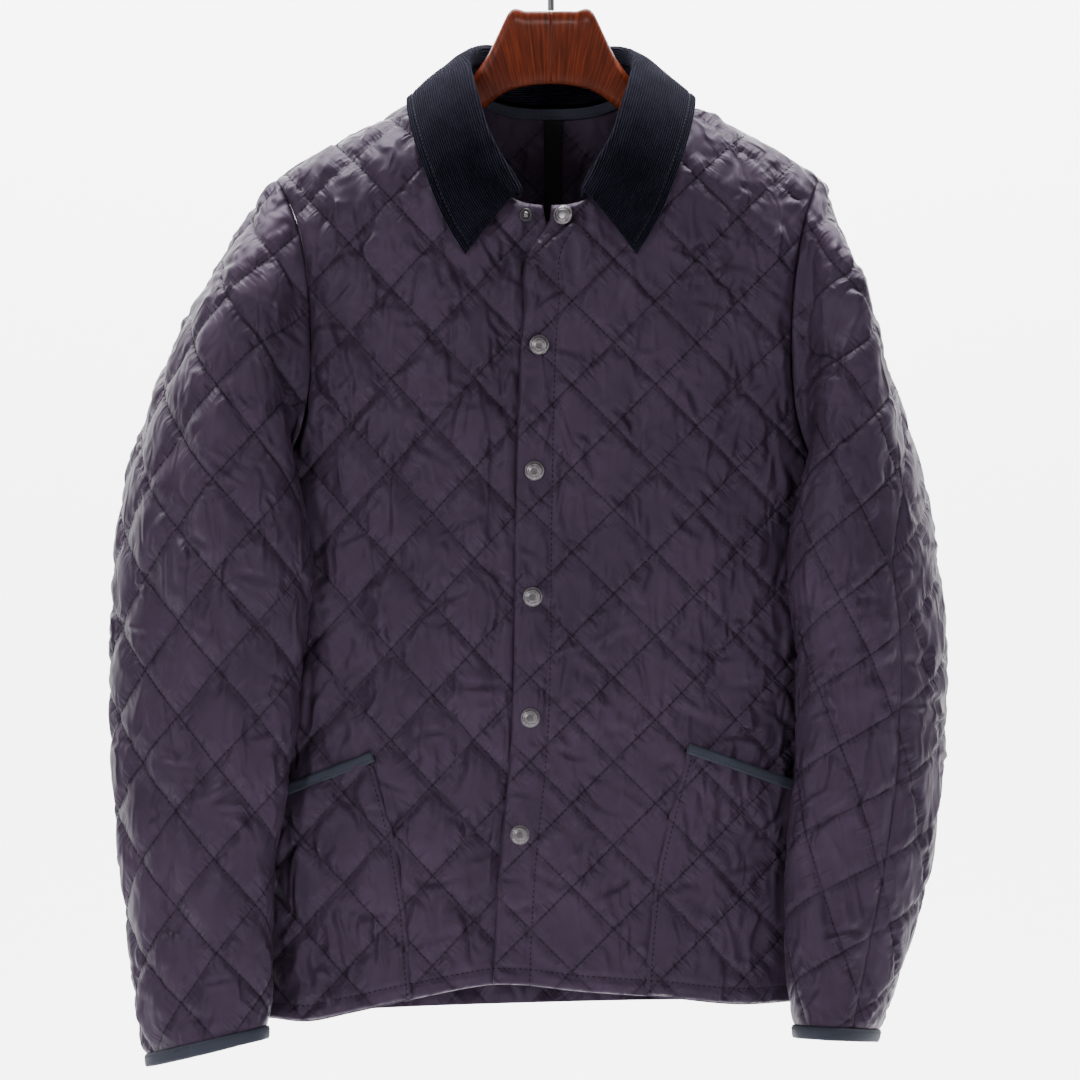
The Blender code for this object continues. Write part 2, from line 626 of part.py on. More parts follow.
def make_pocket(side, word):
    mouth, inner = along(POCKET_MOUTH[side], 10), along(POCKET_INNER[side], 8)
    run = (mouth[-1] - mouth[0]) / np.linalg.norm(mouth[-1] - mouth[0])
    square = np.array([-run[1], run[0]]) * (1 if run[0] > 0 else -1)
    cloth_top = mouth + square * (RIBBON_WIDTH + GAP)
    inner_cloth = inner.copy()
    inner_cloth[0] = cloth_top[0]
    inner_cloth[-1, 1] = front_hem_at(inner[-1, 0]) - 0.0008
    outer_drops = np.linspace(cloth_top[-1, 1], front_hem_at(cloth_top[-1, 0]) - 0.0008, 8)
    outer_x = cloth_top[-1, 0] + 0 * outer_drops
    outer = np.stack([outer_x, outer_drops], axis=1)
    share = np.linspace(0, 1, 10)
    hem_x = inner_cloth[-1, 0] + (outer[-1, 0] - inner_cloth[-1, 0]) * share
    hem = np.stack([hem_x, front_hem_at(hem_x) - 0.0008], axis=1)
    patch = fill_patch(cloth_top, hem, inner_cloth, outer, share)
    wall(f"pocket_{word}", "nylon", on_front(patch, POCKET_OFF + POCKET_CLOTH), on_front(patch, POCKET_OFF))
    band = np.stack([mouth, mouth + square * RIBBON_WIDTH])
    thick = POCKET_CLOTH + 0.0005
    wall(f"pocket_binding_{word}", "ribbon", on_front(band, POCKET_OFF + thick), on_front(band, POCKET_OFF))


def inside_back(x, drop, off):
    """Points off the back panel's inner face, towards the front."""
    y = body_y(x, drop, back=True) - QUILT - off
    return place(x, drop, y)


def make_neck_tape():
    x = np.linspace(-0.052, 0.052, 19)
    top = neckline_at(x, back=True) + 0.0010
    drops = np.stack([top, top + RIBBON_WIDTH])
    xs = np.stack([x, x])
    front, rear = inside_back(xs, drops, 0.0022 + TAPE), inside_back(xs, drops, 0.0022)
    wall("neck_tape", "ribbon", front, rear)


def make_back_strip():
    """A plain black strip that hangs inside the back from just below the neck tape."""
    drops = np.linspace(BACK_NECK_DROP + RIBBON_WIDTH + 0.0014, 0.226, 6)[:, None] + np.zeros((1, 3))
    xs = np.linspace(-0.0052, 0.0088, 3)[None, :] + np.zeros((6, 1))
    front, rear = inside_back(xs, drops, 0.0016 + TAPE), inside_back(xs, drops, 0.0016)
    wall("back_strip", "black_tape", front, rear)


# ---- snaps -----------------------------------------------------------------------------------------

def turned(name, look, profile, centre, normal, spin=16):
    """A solid turned from (radius, height) points about a line; the first and last lie on it."""
    normal = np.asarray(normal, float) / np.linalg.norm(normal)
    side = np.cross(normal, (0.0, 0.0, 1.0))
    side /= np.linalg.norm(side)
    other = np.cross(normal, side)
    points = [np.asarray(centre) + normal * profile[0][1]]
    for radius, height in profile[1:-1]:
        for k in range(spin):
            angle = 2 * math.pi * k / spin
            ring = radius * (math.cos(angle) * side + math.sin(angle) * other)
            points.append(np.asarray(centre) + ring + normal * height)
    points.append(np.asarray(centre) + normal * profile[-1][1])
    last = len(points) - 1
    faces = []
    for k in range(spin):
        n = (k + 1) % spin
        faces.append((0, 1 + n, 1 + k))
        for r in range(len(profile) - 3):
            a, b = 1 + r * spin + k, 1 + r * spin + n
            faces.append((a, b, b + spin, a + spin))
        tail = 1 + (len(profile) - 3) * spin
        faces.append((last, tail + k, tail + n))
    return solid(name, look, np.array(points), faces)


CAP_PROFILE = ((0, 0), (CAP_RADIUS * 0.93, 0), (CAP_RADIUS, 0.0008), (CAP_RADIUS * 0.94, 0.0018),
               (CAP_RADIUS * 0.70, 0.0028), (0, CAP_HEIGHT))


def front_normal(x, drop):
    two = on_front(np.array([[x, drop]]), 0.0), on_front(np.array([[x, drop]]), 1.0)
    return (two[1] - two[0])[0]


def make_snaps():
    for k, drop in enumerate(SNAP_DROPS):
        x = float(placket_edge_at(drop)) + SNAP_FROM_EDGE
        centre = on_front(np.array([[x, drop]]), 0.0009)[0]
        turned(f"snap_cap_{k + 1}", "snap_metal", CAP_PROFILE, centre, front_normal(x, drop))
    neck_x, neck_drop = 0.0095, 0.2245
    centre = on_front(np.array([[neck_x, neck_drop]]), 0.0036)[0]
    turned("snap_cap_neck", "snap_metal", CAP_PROFILE, centre, (-0.30, -0.93, 0.22))
    stud_x, stud_drop = -0.0190, 0.2240
    centre = on_front(np.array([[stud_x, stud_drop]]), 0.0008)[0]
    centre[1] += underlap_sink(stud_x - 0.0050, stud_drop) - 0.0004
    stud = ((0, 0), (0.0046, 0), (0.0050, 0.0006), (0.0046, 0.0012), (0.0026, 0.0014), (0.0022, 0.0030),
            (0, 0.0036))
    turned("snap_stud_neck", "snap_metal", stud, centre, front_normal(stud_x, stud_drop))


# ---- hanger ----------------------------------------------------------------------------------------

ARM_LENGTH = 0.188
HANGER_TOP = 0.068      # drop of the flat top of the wood
# x, drop of the top, drop of the underside, half thickness
HANGER_ARM = ((0.0, HANGER_TOP, 0.1233, 0.0105), (0.018, HANGER_TOP, 0.1250, 0.0105),
              (0.032, 0.0690, 0.1290, 0.0105), (0.040, 0.0850, 0.1335, 0.0107),
              (0.0465, 0.0985, 0.1385, 0.0110), (0.0595, 0.1180, 0.1490, 0.0115),
              (0.067, 0.1275, 0.1540, 0.0108), (0.080, 0.1345, 0.1630, 0.0130),
              (0.120, 0.1535, 0.1850, 0.0165), (0.160, 0.1745, 0.2040, 0.0180),
              (ARM_LENGTH, 0.1915, 0.2140, 0.0140))


def make_hanger_half(side, word):
    """Half of the wooden hanger: rounded sections along the arm."""
    keys = [row[0] for row in HANGER_ARM]
    xs = np.array([GAP / 2, 0.010, 0.020, 0.028, 0.034, 0.040, 0.0465, 0.055, 0.066, 0.080, 0.105, 0.130,
                   0.155, 0.175, ARM_LENGTH])
    values = smooth(keys, [row[1:] for row in HANGER_ARM], xs)
    angles = 2 * math.pi * (np.arange(12) + 0.5) / 12
    rings = []
    for x, (top, low, thick) in zip(xs, values):
        middle, half = (top + low) / 2, (low - top) / 2
        squareness = 0.55 + 0.35 * np.clip((x - 0.04) / 0.02, 0, 1)
        across = np.sign(np.cos(angles)) * np.abs(np.cos(angles)) ** squareness
        upright = np.sign(np.sin(angles)) * np.abs(np.sin(angles)) ** 0.75
        bend = -0.006 * (x / ARM_LENGTH) ** 2
        rings.append(place(side * x + 0 * angles, middle - half * upright, bend + thick * across))
    grid = np.stack(rings)
    rows, columns = grid.shape[:2]
    faces = []
    for r in range(rows - 1):
        for c in range(columns):
            a, b = r * columns + c, r * columns + (c + 1) % columns
            faces.append((a, b, b + columns, a + columns))
    faces.append(tuple(range(columns))[::-1])
    faces.append(tuple((rows - 1) * columns + c for c in range(columns)))
    solid(f"hanger_{word}", "hanger_wood", grid.reshape(-1, 3), faces)


HOOK_WIRE = 0.0025
HOOK_INSIDE = 0.020     # inner radius of the hook's bend


def make_hook():
    """A round rod: shank, a sweep to one side and the bend whose inside top is the origin."""
    radius = HOOK_INSIDE + HOOK_WIRE
    route = [(0.0, HANGER_TOP - GAP), (0.0, 0.060), (0.0, 0.0540), (0.0035, 0.0462)]
    for degrees in range(-50, 186, 12):
        turn = math.radians(degrees)
        route.append((radius * math.cos(turn), HOOK_INSIDE - radius * math.sin(turn)))
    curve = bpy.data.curves.new("hanger_hook", "CURVE")
    curve.dimensions = "3D"
    curve.bevel_depth = HOOK_WIRE
    curve.bevel_resolution = 2
    curve.use_fill_caps = True
    fine = along(route, 48)
    line = curve.splines.new("POLY")
    line.points.add(len(fine) - 1)
    for point, (x, drop) in zip(line.points, fine):
        point.co = (x, 0.0, -drop, 1.0)
    curve.materials.append(bpy.data.materials["hook_metal"])
    thing = bpy.data.objects.new("hanger_hook", curve)
    bpy.context.collection.objects.link(thing)


def main():
    for thing in list(bpy.data.objects):
        bpy.data.objects.remove(thing, do_unlink=True)
    make_looks()
    panels = make_body()
    for side, word in ((-1, "right"), (1, "left")):
        make_sleeve(side, word, panels)
        make_pocket(side, word)
        make_hanger_half(side, word)
    make_collar()
    make_neck_tape()
    make_back_strip()
    make_snaps()
    make_hook()


main()
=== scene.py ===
"""A quilted jacket hanging on a wooden hanger, finished over its frame. Metres, +Z up, the jacket faces -Y.
Heights are given as drops below the hook's seat, which is the origin."""
import math

import bpy
import numpy as np
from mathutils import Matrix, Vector


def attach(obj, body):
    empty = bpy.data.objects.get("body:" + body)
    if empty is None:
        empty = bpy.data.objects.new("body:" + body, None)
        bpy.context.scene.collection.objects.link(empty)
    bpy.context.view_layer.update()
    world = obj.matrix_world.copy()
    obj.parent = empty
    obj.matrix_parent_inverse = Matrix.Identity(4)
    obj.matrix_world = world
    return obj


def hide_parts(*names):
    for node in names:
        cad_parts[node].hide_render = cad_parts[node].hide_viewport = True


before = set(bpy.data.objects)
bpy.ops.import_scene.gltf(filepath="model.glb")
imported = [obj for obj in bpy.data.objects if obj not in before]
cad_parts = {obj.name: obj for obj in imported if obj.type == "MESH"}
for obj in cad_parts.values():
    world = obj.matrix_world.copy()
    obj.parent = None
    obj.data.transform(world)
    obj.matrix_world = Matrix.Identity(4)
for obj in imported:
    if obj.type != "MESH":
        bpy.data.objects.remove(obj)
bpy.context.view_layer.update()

# ---- sizes -------------------------------------------------------
FINE = 0.0022     # spacing of the cloth's points
GAP = 0.0004
WALL = 0.0030
RIBBON_WIDTH = 0.008
NECK_DROP, SHOULDER_DROP, PIT_DROP, HEM_DROP = 0.120, 0.1945, 0.4435, 0.830
NECK_HALF, SHOULDER_HALF = 0.067, 0.207
BACK_NECK_DROP, FRONT_NECK_DROP = 0.141, 0.216
LEAN = -0.015
ROUND = 2.2
SHOULDER_ROUND = 0.075
UNDERLAP_SINK = 0.0060
SEAM_Y = 0.012
SLEEVE_CLEAR = 0.0085
SIDE_SHARE, NECK_SHARE = 8 / 19, 6 / 11         # of a panel's rows and columns
STITCH, STITCH_PITCH = 0.0030, 0.0041
HEM_STITCH, PLACKET_STITCH = 0.012, 0.0278      # how far these lines of stitches lie from their edges
RIBBON_STITCH = {"pitch": 0.0036, "long": 0.0025}
FACE_OFF = 0.00025                              # from the body's form to a panel's outer face

LOFT = 0.0025                                   # height of the quilting's pads
# The quilting's diamonds: width, height and where a crossing lies
FRONT_QUILT = {True: (0.0635, 0.0635, 0.0159, 0.0060), False: (0.0640, 0.0685, 0.0060, 0.0214)}
BACK_QUILT = (0.0640, 0.0660, 0.0, 0.010)
SLEEVE_QUILT = {1: (0.0640, 0.0723, 0.0475, -0.2346), -1: (0.0640, 0.0720, 0.0350, -0.1850)}
SLEEVE_TURN = {1: 0.261, -1: 0.0}                # how far the sleeve's quilting is turned from its length


# ---- curves and forms --------------------------------------------

def smooth(keys, values, at):
    """A smooth curve through values given at rising keys."""
    keys = np.asarray(keys, float)
    values = np.asarray(values, float)
    at = np.clip(np.asarray(at, float), keys[0], keys[-1])
    slopes = np.gradient(values, keys, axis=0)
    i = np.clip(np.searchsorted(keys, at, side="right") - 1, 0, len(keys) - 2)
    span = keys[i + 1] - keys[i]
    t = (at - keys[i]) / span
    if values.ndim > 1:
        t, span = t[..., None], span[..., None]
    rise = (3 - 2 * t) * t * t
    return ((1 - rise) * values[i] + rise * values[i + 1]
            + span * t * (1 - t) * ((1 - t) * slopes[i] - t * slopes[i + 1]))


def distances(points):
    """Distance walked to each point of a line."""
    return np.concatenate(([0.0], np.cumsum(np.linalg.norm(np.diff(points, axis=0), axis=1))))


def along_at(points, shares):
    """Points of the smooth line through the given ones, at shares of its length."""
    points = np.asarray(points, float)
    keys = distances(points)
    fine = smooth(keys, points, np.linspace(0, keys[-1], 60 * len(points)))
    length = distances(fine)
    where = np.asarray(shares) * length[-1]
    return np.stack([np.interp(where, length, fine[:, k]) for k in range(points.shape[1])], axis=1)


def along(points, count):
    return along_at(points, np.linspace(0, 1, count))


def centre_at(drop):
    return LEAN * np.clip((drop - SHOULDER_DROP) / (HEM_DROP - SHOULDER_DROP), 0, 1.1)


def half_width_at(drop):
    return smooth((0.08, 0.20, 0.30, PIT_DROP, 0.60, 0.75, 0.84),
                  (0.240, 0.246, 0.244, 0.237, 0.234, 0.236, 0.238), drop)


def front_depth_at(drop):
    return smooth((0.08, 0.14, 0.20, 0.30, 0.45, 0.60, 0.84),
                  (0.044, 0.053, 0.063, 0.076, 0.084, 0.086, 0.088), drop)


def back_depth_at(drop):
    return smooth((0.08, 0.14, 0.20, 0.30, 0.45, 0.84),
                  (0.044, 0.050, 0.058, 0.068, 0.074, 0.080), drop)


def shoulder_drop_at(x):
    return smooth((0.0, NECK_HALF, 0.106, 0.156, SHOULDER_HALF),
                  (0.090, NECK_DROP, 0.1395, 0.166, SHOULDER_DROP), np.abs(x))


def seam_y_at(drop):
    return SEAM_Y * np.clip((drop - 0.20) / 0.15, 0, 1)


def quarter_round(t):
    return np.power(np.clip(1 - np.power(np.clip(t, 0, 1), ROUND), 0, 1), 1 / ROUND)


def body_y(x, drop, back=False):
    across = quarter_round(np.abs(x - centre_at(drop)) / half_width_at(drop))
    below = np.clip(drop - shoulder_drop_at(x), 0, SHOULDER_ROUND) / SHOULDER_ROUND
    fullness = across * quarter_round(1 - below)
    seam = seam_y_at(drop)
    if back:
        return seam + (back_depth_at(drop) - seam) * fullness
    return seam - (front_depth_at(drop) + seam) * fullness


def unit(vectors):
    return vectors / np.maximum(np.linalg.norm(vectors, axis=-1, keepdims=True), 1e-12)


def place(x, drop, y):
    return np.stack([x, y, -drop], axis=-1)


def step_curve(t):
    t = np.clip(t, 0, 1)
    return t * t * (3 - 2 * t)


# ---- outlines of the body's panels -------------------------------

ARMHOLE = ((SHOULDER_HALF, SHOULDER_DROP), (0.1950, 0.222), (0.1865, 0.26), (0.1825, 0.31),
           (0.1835, 0.355), (0.1915, 0.392), (0.2080, 0.420), (0.2310, PIT_DROP))
FRONT_HEM = ((-0.26, 0.829), (-0.212, 0.8326), (-0.186, 0.8350), (-0.154, 0.8288), (-0.1105, 0.819),
             (-0.0613, 0.8091), (-0.044, 0.8066), (-0.0265, 0.8066), (0.018, 0.8114), (0.0825, 0.8162),
             (0.148, 0.822), (0.182, 0.8200), (0.25, 0.816))


def armhole_at(side, up):
    """Points of the armhole, up from the pit (0) to the shoulder (1)."""
    rows = along_at(ARMHOLE, (1 - up) ** 1.8)
    lean = centre_at(PIT_DROP) * np.clip((rows[:, 0] - 0.19) / 0.041, 0, 1)
    return np.stack([side * rows[:, 0] + lean, rows[:, 1]], axis=1)


def placket_edge_at(drop):
    return smooth((0.2156, 0.2315, 0.2452, 0.30, 0.38, 0.44, 0.64, 0.715, 0.78, 0.81),
                  (0.0000, -0.0023, -0.0136, -0.021, -0.0255, -0.0270, -0.0318, -0.0394, -0.0431, -0.0440),
                  drop)


def underlap_edge_at(drop):
    return smooth((0.2164, 0.235, 0.27, 0.30, 0.81), (-0.006, -0.003, 0.005, 0.008, -0.0140), drop)


def underlap_sink(x, drop):
    past = np.clip((x - placket_edge_at(drop) + 0.030) / 0.018, 0, 1)
    return UNDERLAP_SINK * past * past * (3 - 2 * past)


def neckline_at(x, back=False):
    reach = np.clip(np.abs(x) / NECK_HALF, 0, 1)
    if back:
        return NECK_DROP + (BACK_NECK_DROP - NECK_DROP) * (1 - reach ** 3)
    return NECK_DROP + (FRONT_NECK_DROP - NECK_DROP) * np.sqrt(1 - reach ** 2.6)


def front_hem_at(x):
    x_keys, drops = zip(*FRONT_HEM)
    return smooth(x_keys, drops, x)


def back_hem_at(x):
    return 0.8225 + 0.0065 * np.power(np.abs(x - LEAN) / 0.235, 3) - x * 0.028


def top_edge(side, start, back, across):
    """The neckline, evenly spaced, then the shoulder seam."""
    fine = start + (side * NECK_HALF - start) * np.sin(np.linspace(0, math.pi / 2, 500))
    drops = neckline_at(fine, back)
    curve = np.stack([fine, drops, body_y(fine, drops, back)], axis=1)
    length = distances(curve)
    share = np.clip(across / NECK_SHARE, 0, 1)
    x = np.interp(share * length[-1], length, side * fine) * side
    out = NECK_HALF + (SHOULDER_HALF - NECK_HALF) * np.clip((across - NECK_SHARE) / (1 - NECK_SHARE), 0, 1)
    neck = across <= NECK_SHARE
    return np.stack([np.where(neck, x, side * out),
                     np.where(neck, neckline_at(x, back), shoulder_drop_at(out))], axis=1)


EDGE_STEPS = (0.0005, 0.0012, 0.0022, 0.0034)   # finer rows beside a turned edge


def panel_rows():
    """Shares of a panel's height from the hem to the top, closer at the hem's edge."""
    low = np.linspace(0, SIDE_SHARE, int(0.385 / FINE))[:-1]
    steps = 1 - (1 - np.linspace(0, 1, int(0.27 / FINE))) ** (1 / 1.5)
    rows = np.concatenate([low, SIDE_SHARE + (1 - SIDE_SHARE) * steps])
    near = np.asarray(EDGE_STEPS) / 0.385 * SIDE_SHARE
    return np.unique(np.concatenate([rows, near]).round(7))


def patch_between(first, last, inner, outer, down, across):
    """Fills the space between four edges, given as points."""
    v, s = down[:, None, None], across[None, :, None]
    inner_bow = inner[:, None] - (1 - v) * inner[0] - v * inner[-1]
    outer_bow = outer[:, None] - (1 - v) * outer[0] - v * outer[-1]
    return (1 - v) * first[None] + v * last[None] + (1 - s) * inner_bow + s * outer_bow


def half_panel(side, back, rows, across, start_x, free_edge, hem_at, free_low):
    """(x, drop) of every point between the middle or free edge and the side, hem to top.

    The side edges of front and back stand 43 to 46 mm apart, as on the solids, so both sides are open."""
    share = np.sin((across * math.pi / 2) ** 1.08 / (math.pi / 2) ** 0.08)
    low = rows <= SIDE_SHARE + 1e-9
    up = np.clip((rows - SIDE_SHARE) / (1 - SIDE_SHARE), 0, 1)
    hem_side = float(hem_at(side * 0.235 + LEAN))
    drops = hem_side + (PIT_DROP - hem_side) * np.clip(rows / SIDE_SHARE, 0, 1)
    arm = armhole_at(side, up)
    pit = armhole_at(side, np.array([0.0]))[0]
    reach = abs(pit[0] - centre_at(PIT_DROP)) / half_width_at(PIT_DROP)
    seam_x = centre_at(drops) + side * reach * half_width_at(drops)
    outer = np.where(low[:, None], np.stack([seam_x, drops], axis=1), arm)
    bottom_x = free_low + (outer[0, 0] - free_low) * share
    bottom = np.stack([bottom_x, hem_at(bottom_x)], axis=1)
    top = top_edge(side, start_x, back, across)
    inner_drops = np.where(low, bottom[0, 1] + (PIT_DROP - bottom[0, 1]) * np.clip(rows / SIDE_SHARE, 0, 1),
                           PIT_DROP + (top[0, 1] - PIT_DROP) * (1 - (1 - up) ** 1.25))
    inner = np.stack([free_edge(inner_drops), inner_drops], axis=1)
    inner[0], inner[-1], outer[0], outer[-1] = bottom[0], top[0], bottom[-1], top[-1]
    return patch_between(bottom, top, inner, outer, rows, share)


# ---- cloth's surface ---------------------------------------------

class Noise:
    """Soft noise in one or two directions from a seeded grid."""

    def __init__(self, seed):
        self.grid = np.random.default_rng(seed).uniform(-1, 1, (97, 97))

    def __call__(self, x, y=0.0):
        x, y = np.broadcast_arrays(np.asarray(x, float), np.asarray(y, float))
        i, j = np.floor(x).astype(int), np.floor(y).astype(int)
        s, t = step_curve(x - i), step_curve(y - j)
        at = lambda a, b: self.grid[a % 97, b % 97]
        low = at(i, j) * (1 - s) + at(i + 1, j) * s
        high = at(i, j + 1) * (1 - s) + at(i + 1, j + 1) * s
        return low * (1 - t) + high * t


def grid_normals(points, closed=False):
    if closed:
        across = np.roll(points, -1, axis=1) - np.roll(points, 1, axis=1)
    else:
        across = np.gradient(points, axis=1)
    return unit(np.cross(across, np.gradient(points, axis=0)))


def facing(normals, like):
    """The normals, turned where they point away from the like ones."""
    return normals * np.where(np.sum(normals * like, -1, keepdims=True) < 0, -1, 1)


def evened(values, rounds, closed=False):
    for _ in range(rounds):
        padded = np.pad(values, ((1, 1), (0, 0), (0, 0)), mode="edge")
        padded = np.pad(padded, ((0, 0), (1, 1), (0, 0)), mode="wrap" if closed else "edge")
        values = (2 * values + padded[2:, 1:-1] + padded[:-2, 1:-1] + padded[1:-1, 2:]
                  + padded[1:-1, :-2]) / 6
    return values


def lengths(points, axis):
    """Distance walked along a direction of the grid from its start."""
    steps = np.linalg.norm(np.diff(points, axis=axis), axis=-1)
    walked = np.cumsum(steps, axis=axis)
    start = np.zeros_like(np.take(walked, [0], axis=axis))
    return np.concatenate([start, walked], axis=axis)


def diamond_lines(u, v, quilt):
    width, height, u0, v0 = quilt
    return (u - u0) / width + (v - v0) / height, (u - u0) / width - (v - v0) / height


def quilted(u, v, quilt, seed, loft=LOFT):
    """Height of the padded diamonds, the puckers along their stitches and the creases between."""
    width, height = quilt[:2]
    a, b = diamond_lines(u, v, quilt)
    spacing = 1 / math.hypot(1 / width, 1 / height)
    cell_a, cell_b = np.floor(a), np.floor(b)
    to_a, to_b = np.abs(a - np.round(a)) * spacing, np.abs(b - np.round(b)) * spacing
    vary, warp = Noise(seed), Noise(seed + 1)
    each = 1 + 0.22 * vary.grid[(cell_a * 7 + cell_b * 3).astype(int) % 97, (cell_b * 5).astype(int) % 97]
    tilt_a = 0.55 * vary.grid[(cell_a * 3 + 11).astype(int) % 97, (cell_b * 11).astype(int) % 97]
    tilt_b = 0.55 * vary.grid[(cell_a * 13 + 5).astype(int) % 97, (cell_b * 2 + 9).astype(int) % 97]
    rise = lambda d: np.tanh(d / 0.0060)
    pad = rise(to_a) * rise(to_b)
    pad = pad * each * (1 + tilt_a * (a - cell_a - 0.5) + tilt_b * (b - cell_b - 0.5))
    h = loft * pad
    # Puckers run square to the stitches and fade out
    for to, line, s, k in ((to_a, np.round(a), b * spacing, 2), (to_b, np.round(b), a * spacing, 3)):
        ripple = Noise(seed + k)
        wave = ripple(s / 0.0052, line * 7.31) + 0.8 * ripple(s / 0.0105 + 31, line * 3.7)
        h += 0.00058 * wave * np.exp(-to / 0.0105) * (1 - 0.6 * np.exp(-to / 0.0012))
    # A narrow groove where the thread pulls the cloth in
    h -= 0.0011 * (np.exp(-(to_a / 0.0016) ** 2) + np.exp(-(to_b / 0.0016) ** 2))
    # Broad waves of loose cloth
    h += 0.0012 * warp(u / 0.045, v / 0.08) + 0.0015 * warp(u / 0.016 + 40, v / 0.045 + 9)
    # Small crumples with sharp ridges
    slip_u, slip_v = 0.004 * warp(u / 0.02, v / 0.02 + 5), 0.004 * warp(u / 0.02 + 7, v / 0.02)
    h += 0.00050 * (0.35 - np.abs(warp((u + slip_u) / 0.0125 + 3, (v + slip_v) / 0.0165 + 3)))
    h += 0.00032 * (0.35 - np.abs(warp((u - slip_v) / 0.0075 + 60, (v + slip_u) / 0.0085 + 20)))
    return h + creases(u, v, quilt, seed + 5)


def creases(u, v, quilt, seed):
    """Short sharp creases in the slack cloth, most of them towards the corners of the diamonds."""
    width, height = quilt[:2]
    rng = np.random.default_rng(seed)
    h = np.zeros_like(u)
    low_u, low_v = u.min() - 0.02, v.min() - 0.02
    count = int((u.max() - low_u) * (v.max() - low_v) / (width * height / 2) * 4.6)
    for _ in range(count):
        cu = rng.uniform(low_u, u.max() + 0.02)
        cv = rng.uniform(low_v, v.max() + 0.02)
        lean = rng.choice([0.0, 0.5, -0.5, 1.0, 1.0, 1.0]) * math.pi / 2 + rng.normal(0, 0.30)
        long, wide = rng.uniform(0.010, 0.028), rng.uniform(0.0018, 0.0034)
        deep = rng.uniform(0.0007, 0.0021) * rng.choice([-1, -1, 1])
        bend = rng.normal(0, 9.0)
        near = (np.abs(u - cu) < long * 1.2) & (np.abs(v - cv) < long * 1.2)
        if not near.any():
            continue
        du, dv = u[near] - cu, v[near] - cv
        s = du * math.cos(lean) + dv * math.sin(lean)
        q = -du * math.sin(lean) + dv * math.cos(lean) + bend * s * s
        taper = np.clip(1 - (s / long) ** 2, 0, 1) ** 1.5
        h[near] += deep * taper * (np.exp(-(q / wide) ** 2) - 0.55 * np.exp(-((q - 2 * wide) / wide) ** 2))
    return h


def folds(x, drop, table):
    """Large folds: each is a line of (x, drop) points, a width and a depth."""
    h = np.zeros_like(x)
    for points, wide, deep in table:
        points = np.asarray(points, float)
        fine = along(points, 24)
        near = ((x > points[:, 0].min() - 3 * wide) & (x < points[:, 0].max() + 3 * wide)
                & (drop > points[:, 1].min() - 3 * wide) & (drop < points[:, 1].max() + 3 * wide))
        if not near.any():
            continue
        px, pd = x[near], drop[near]
        nearest, at = np.full(px.shape, 1e9), np.zeros_like(px)
        for k in range(len(fine) - 1):
            start, run = fine[k], fine[k + 1] - fine[k]
            t = np.clip(((px - start[0]) * run[0] + (pd - start[1]) * run[1]) / (run @ run), 0, 1)
            away = np.hypot(px - start[0] - t * run[0], pd - start[1] - t * run[1])
            at = np.where(away < nearest, (k + t) / (len(fine) - 1), at)
            nearest = np.minimum(away, nearest)
        h[near] += deep * np.exp(-(nearest / wide) ** 2) * np.sqrt(np.clip(4 * at * (1 - at), 0, 1))
    return h


def rolled(edge, radius=0.0024):
    """How far the cloth turns in at a free edge."""
    t = np.clip(1 - edge / radius, 0, 1)
    return radius * (1 - np.sqrt(np.clip(1 - t * t, 0, 1)))


def sew_hem(h, x, from_hem, line, deep, seed):
    """Sinks the hem's line of stitches into the heights, with puckers to either side."""
    h -= deep * np.exp(-((from_hem - line) / 0.0020) ** 2)
    h += 0.0007 * Noise(seed)(x / 0.0065, from_hem / 0.03) * np.exp(-np.abs(from_hem - line) / 0.006) * (
        step_curve(from_hem / 0.003))


# ---- meshes ------------------------------------------------------

def new_object(name, points, faces, look, uv=None):
    mesh = bpy.data.meshes.new(name)
    points = np.asarray(points, float)
    sizes = np.array([len(f) for f in faces], dtype=np.int32)
    loops = np.concatenate([np.asarray(f, dtype=np.int32) for f in faces]) if not isinstance(
        faces, np.ndarray) else faces.reshape(-1).astype(np.int32)
    mesh.vertices.add(len(points))
    mesh.vertices.foreach_set("co", points.astype(np.float32).reshape(-1))
    mesh.loops.add(len(loops))
    mesh.loops.foreach_set("vertex_index", loops)
    mesh.polygons.add(len(sizes))
    mesh.polygons.foreach_set("loop_start", np.concatenate(([0], np.cumsum(sizes)[:-1])).astype(np.int32))
    mesh.update(calc_edges=True)
    mesh.validate()
    mesh.shade_smooth()
    if uv is not None:
        layer = mesh.uv_layers.new(name="cloth")
        layer.data.foreach_set("uv", uv[loops].astype(np.float32).reshape(-1))
    mesh.materials.append(look)
    thing = bpy.data.objects.new(name, mesh)
    bpy.context.collection.objects.link(thing)
    return thing


def quads(rows, columns, closed=False, start=0, flip=False):
    index = np.arange(rows * columns).reshape(rows, columns) + start
    if closed:
        index = np.concatenate([index, index[:, :1]], axis=1)
    a, b = index[:-1, :-1].ravel(), index[:-1, 1:].ravel()
    c, d = index[1:, 1:].ravel(), index[1:, :-1].ravel()
    return np.stack([a, d, c, b] if flip else [a, b, c, d], axis=1)


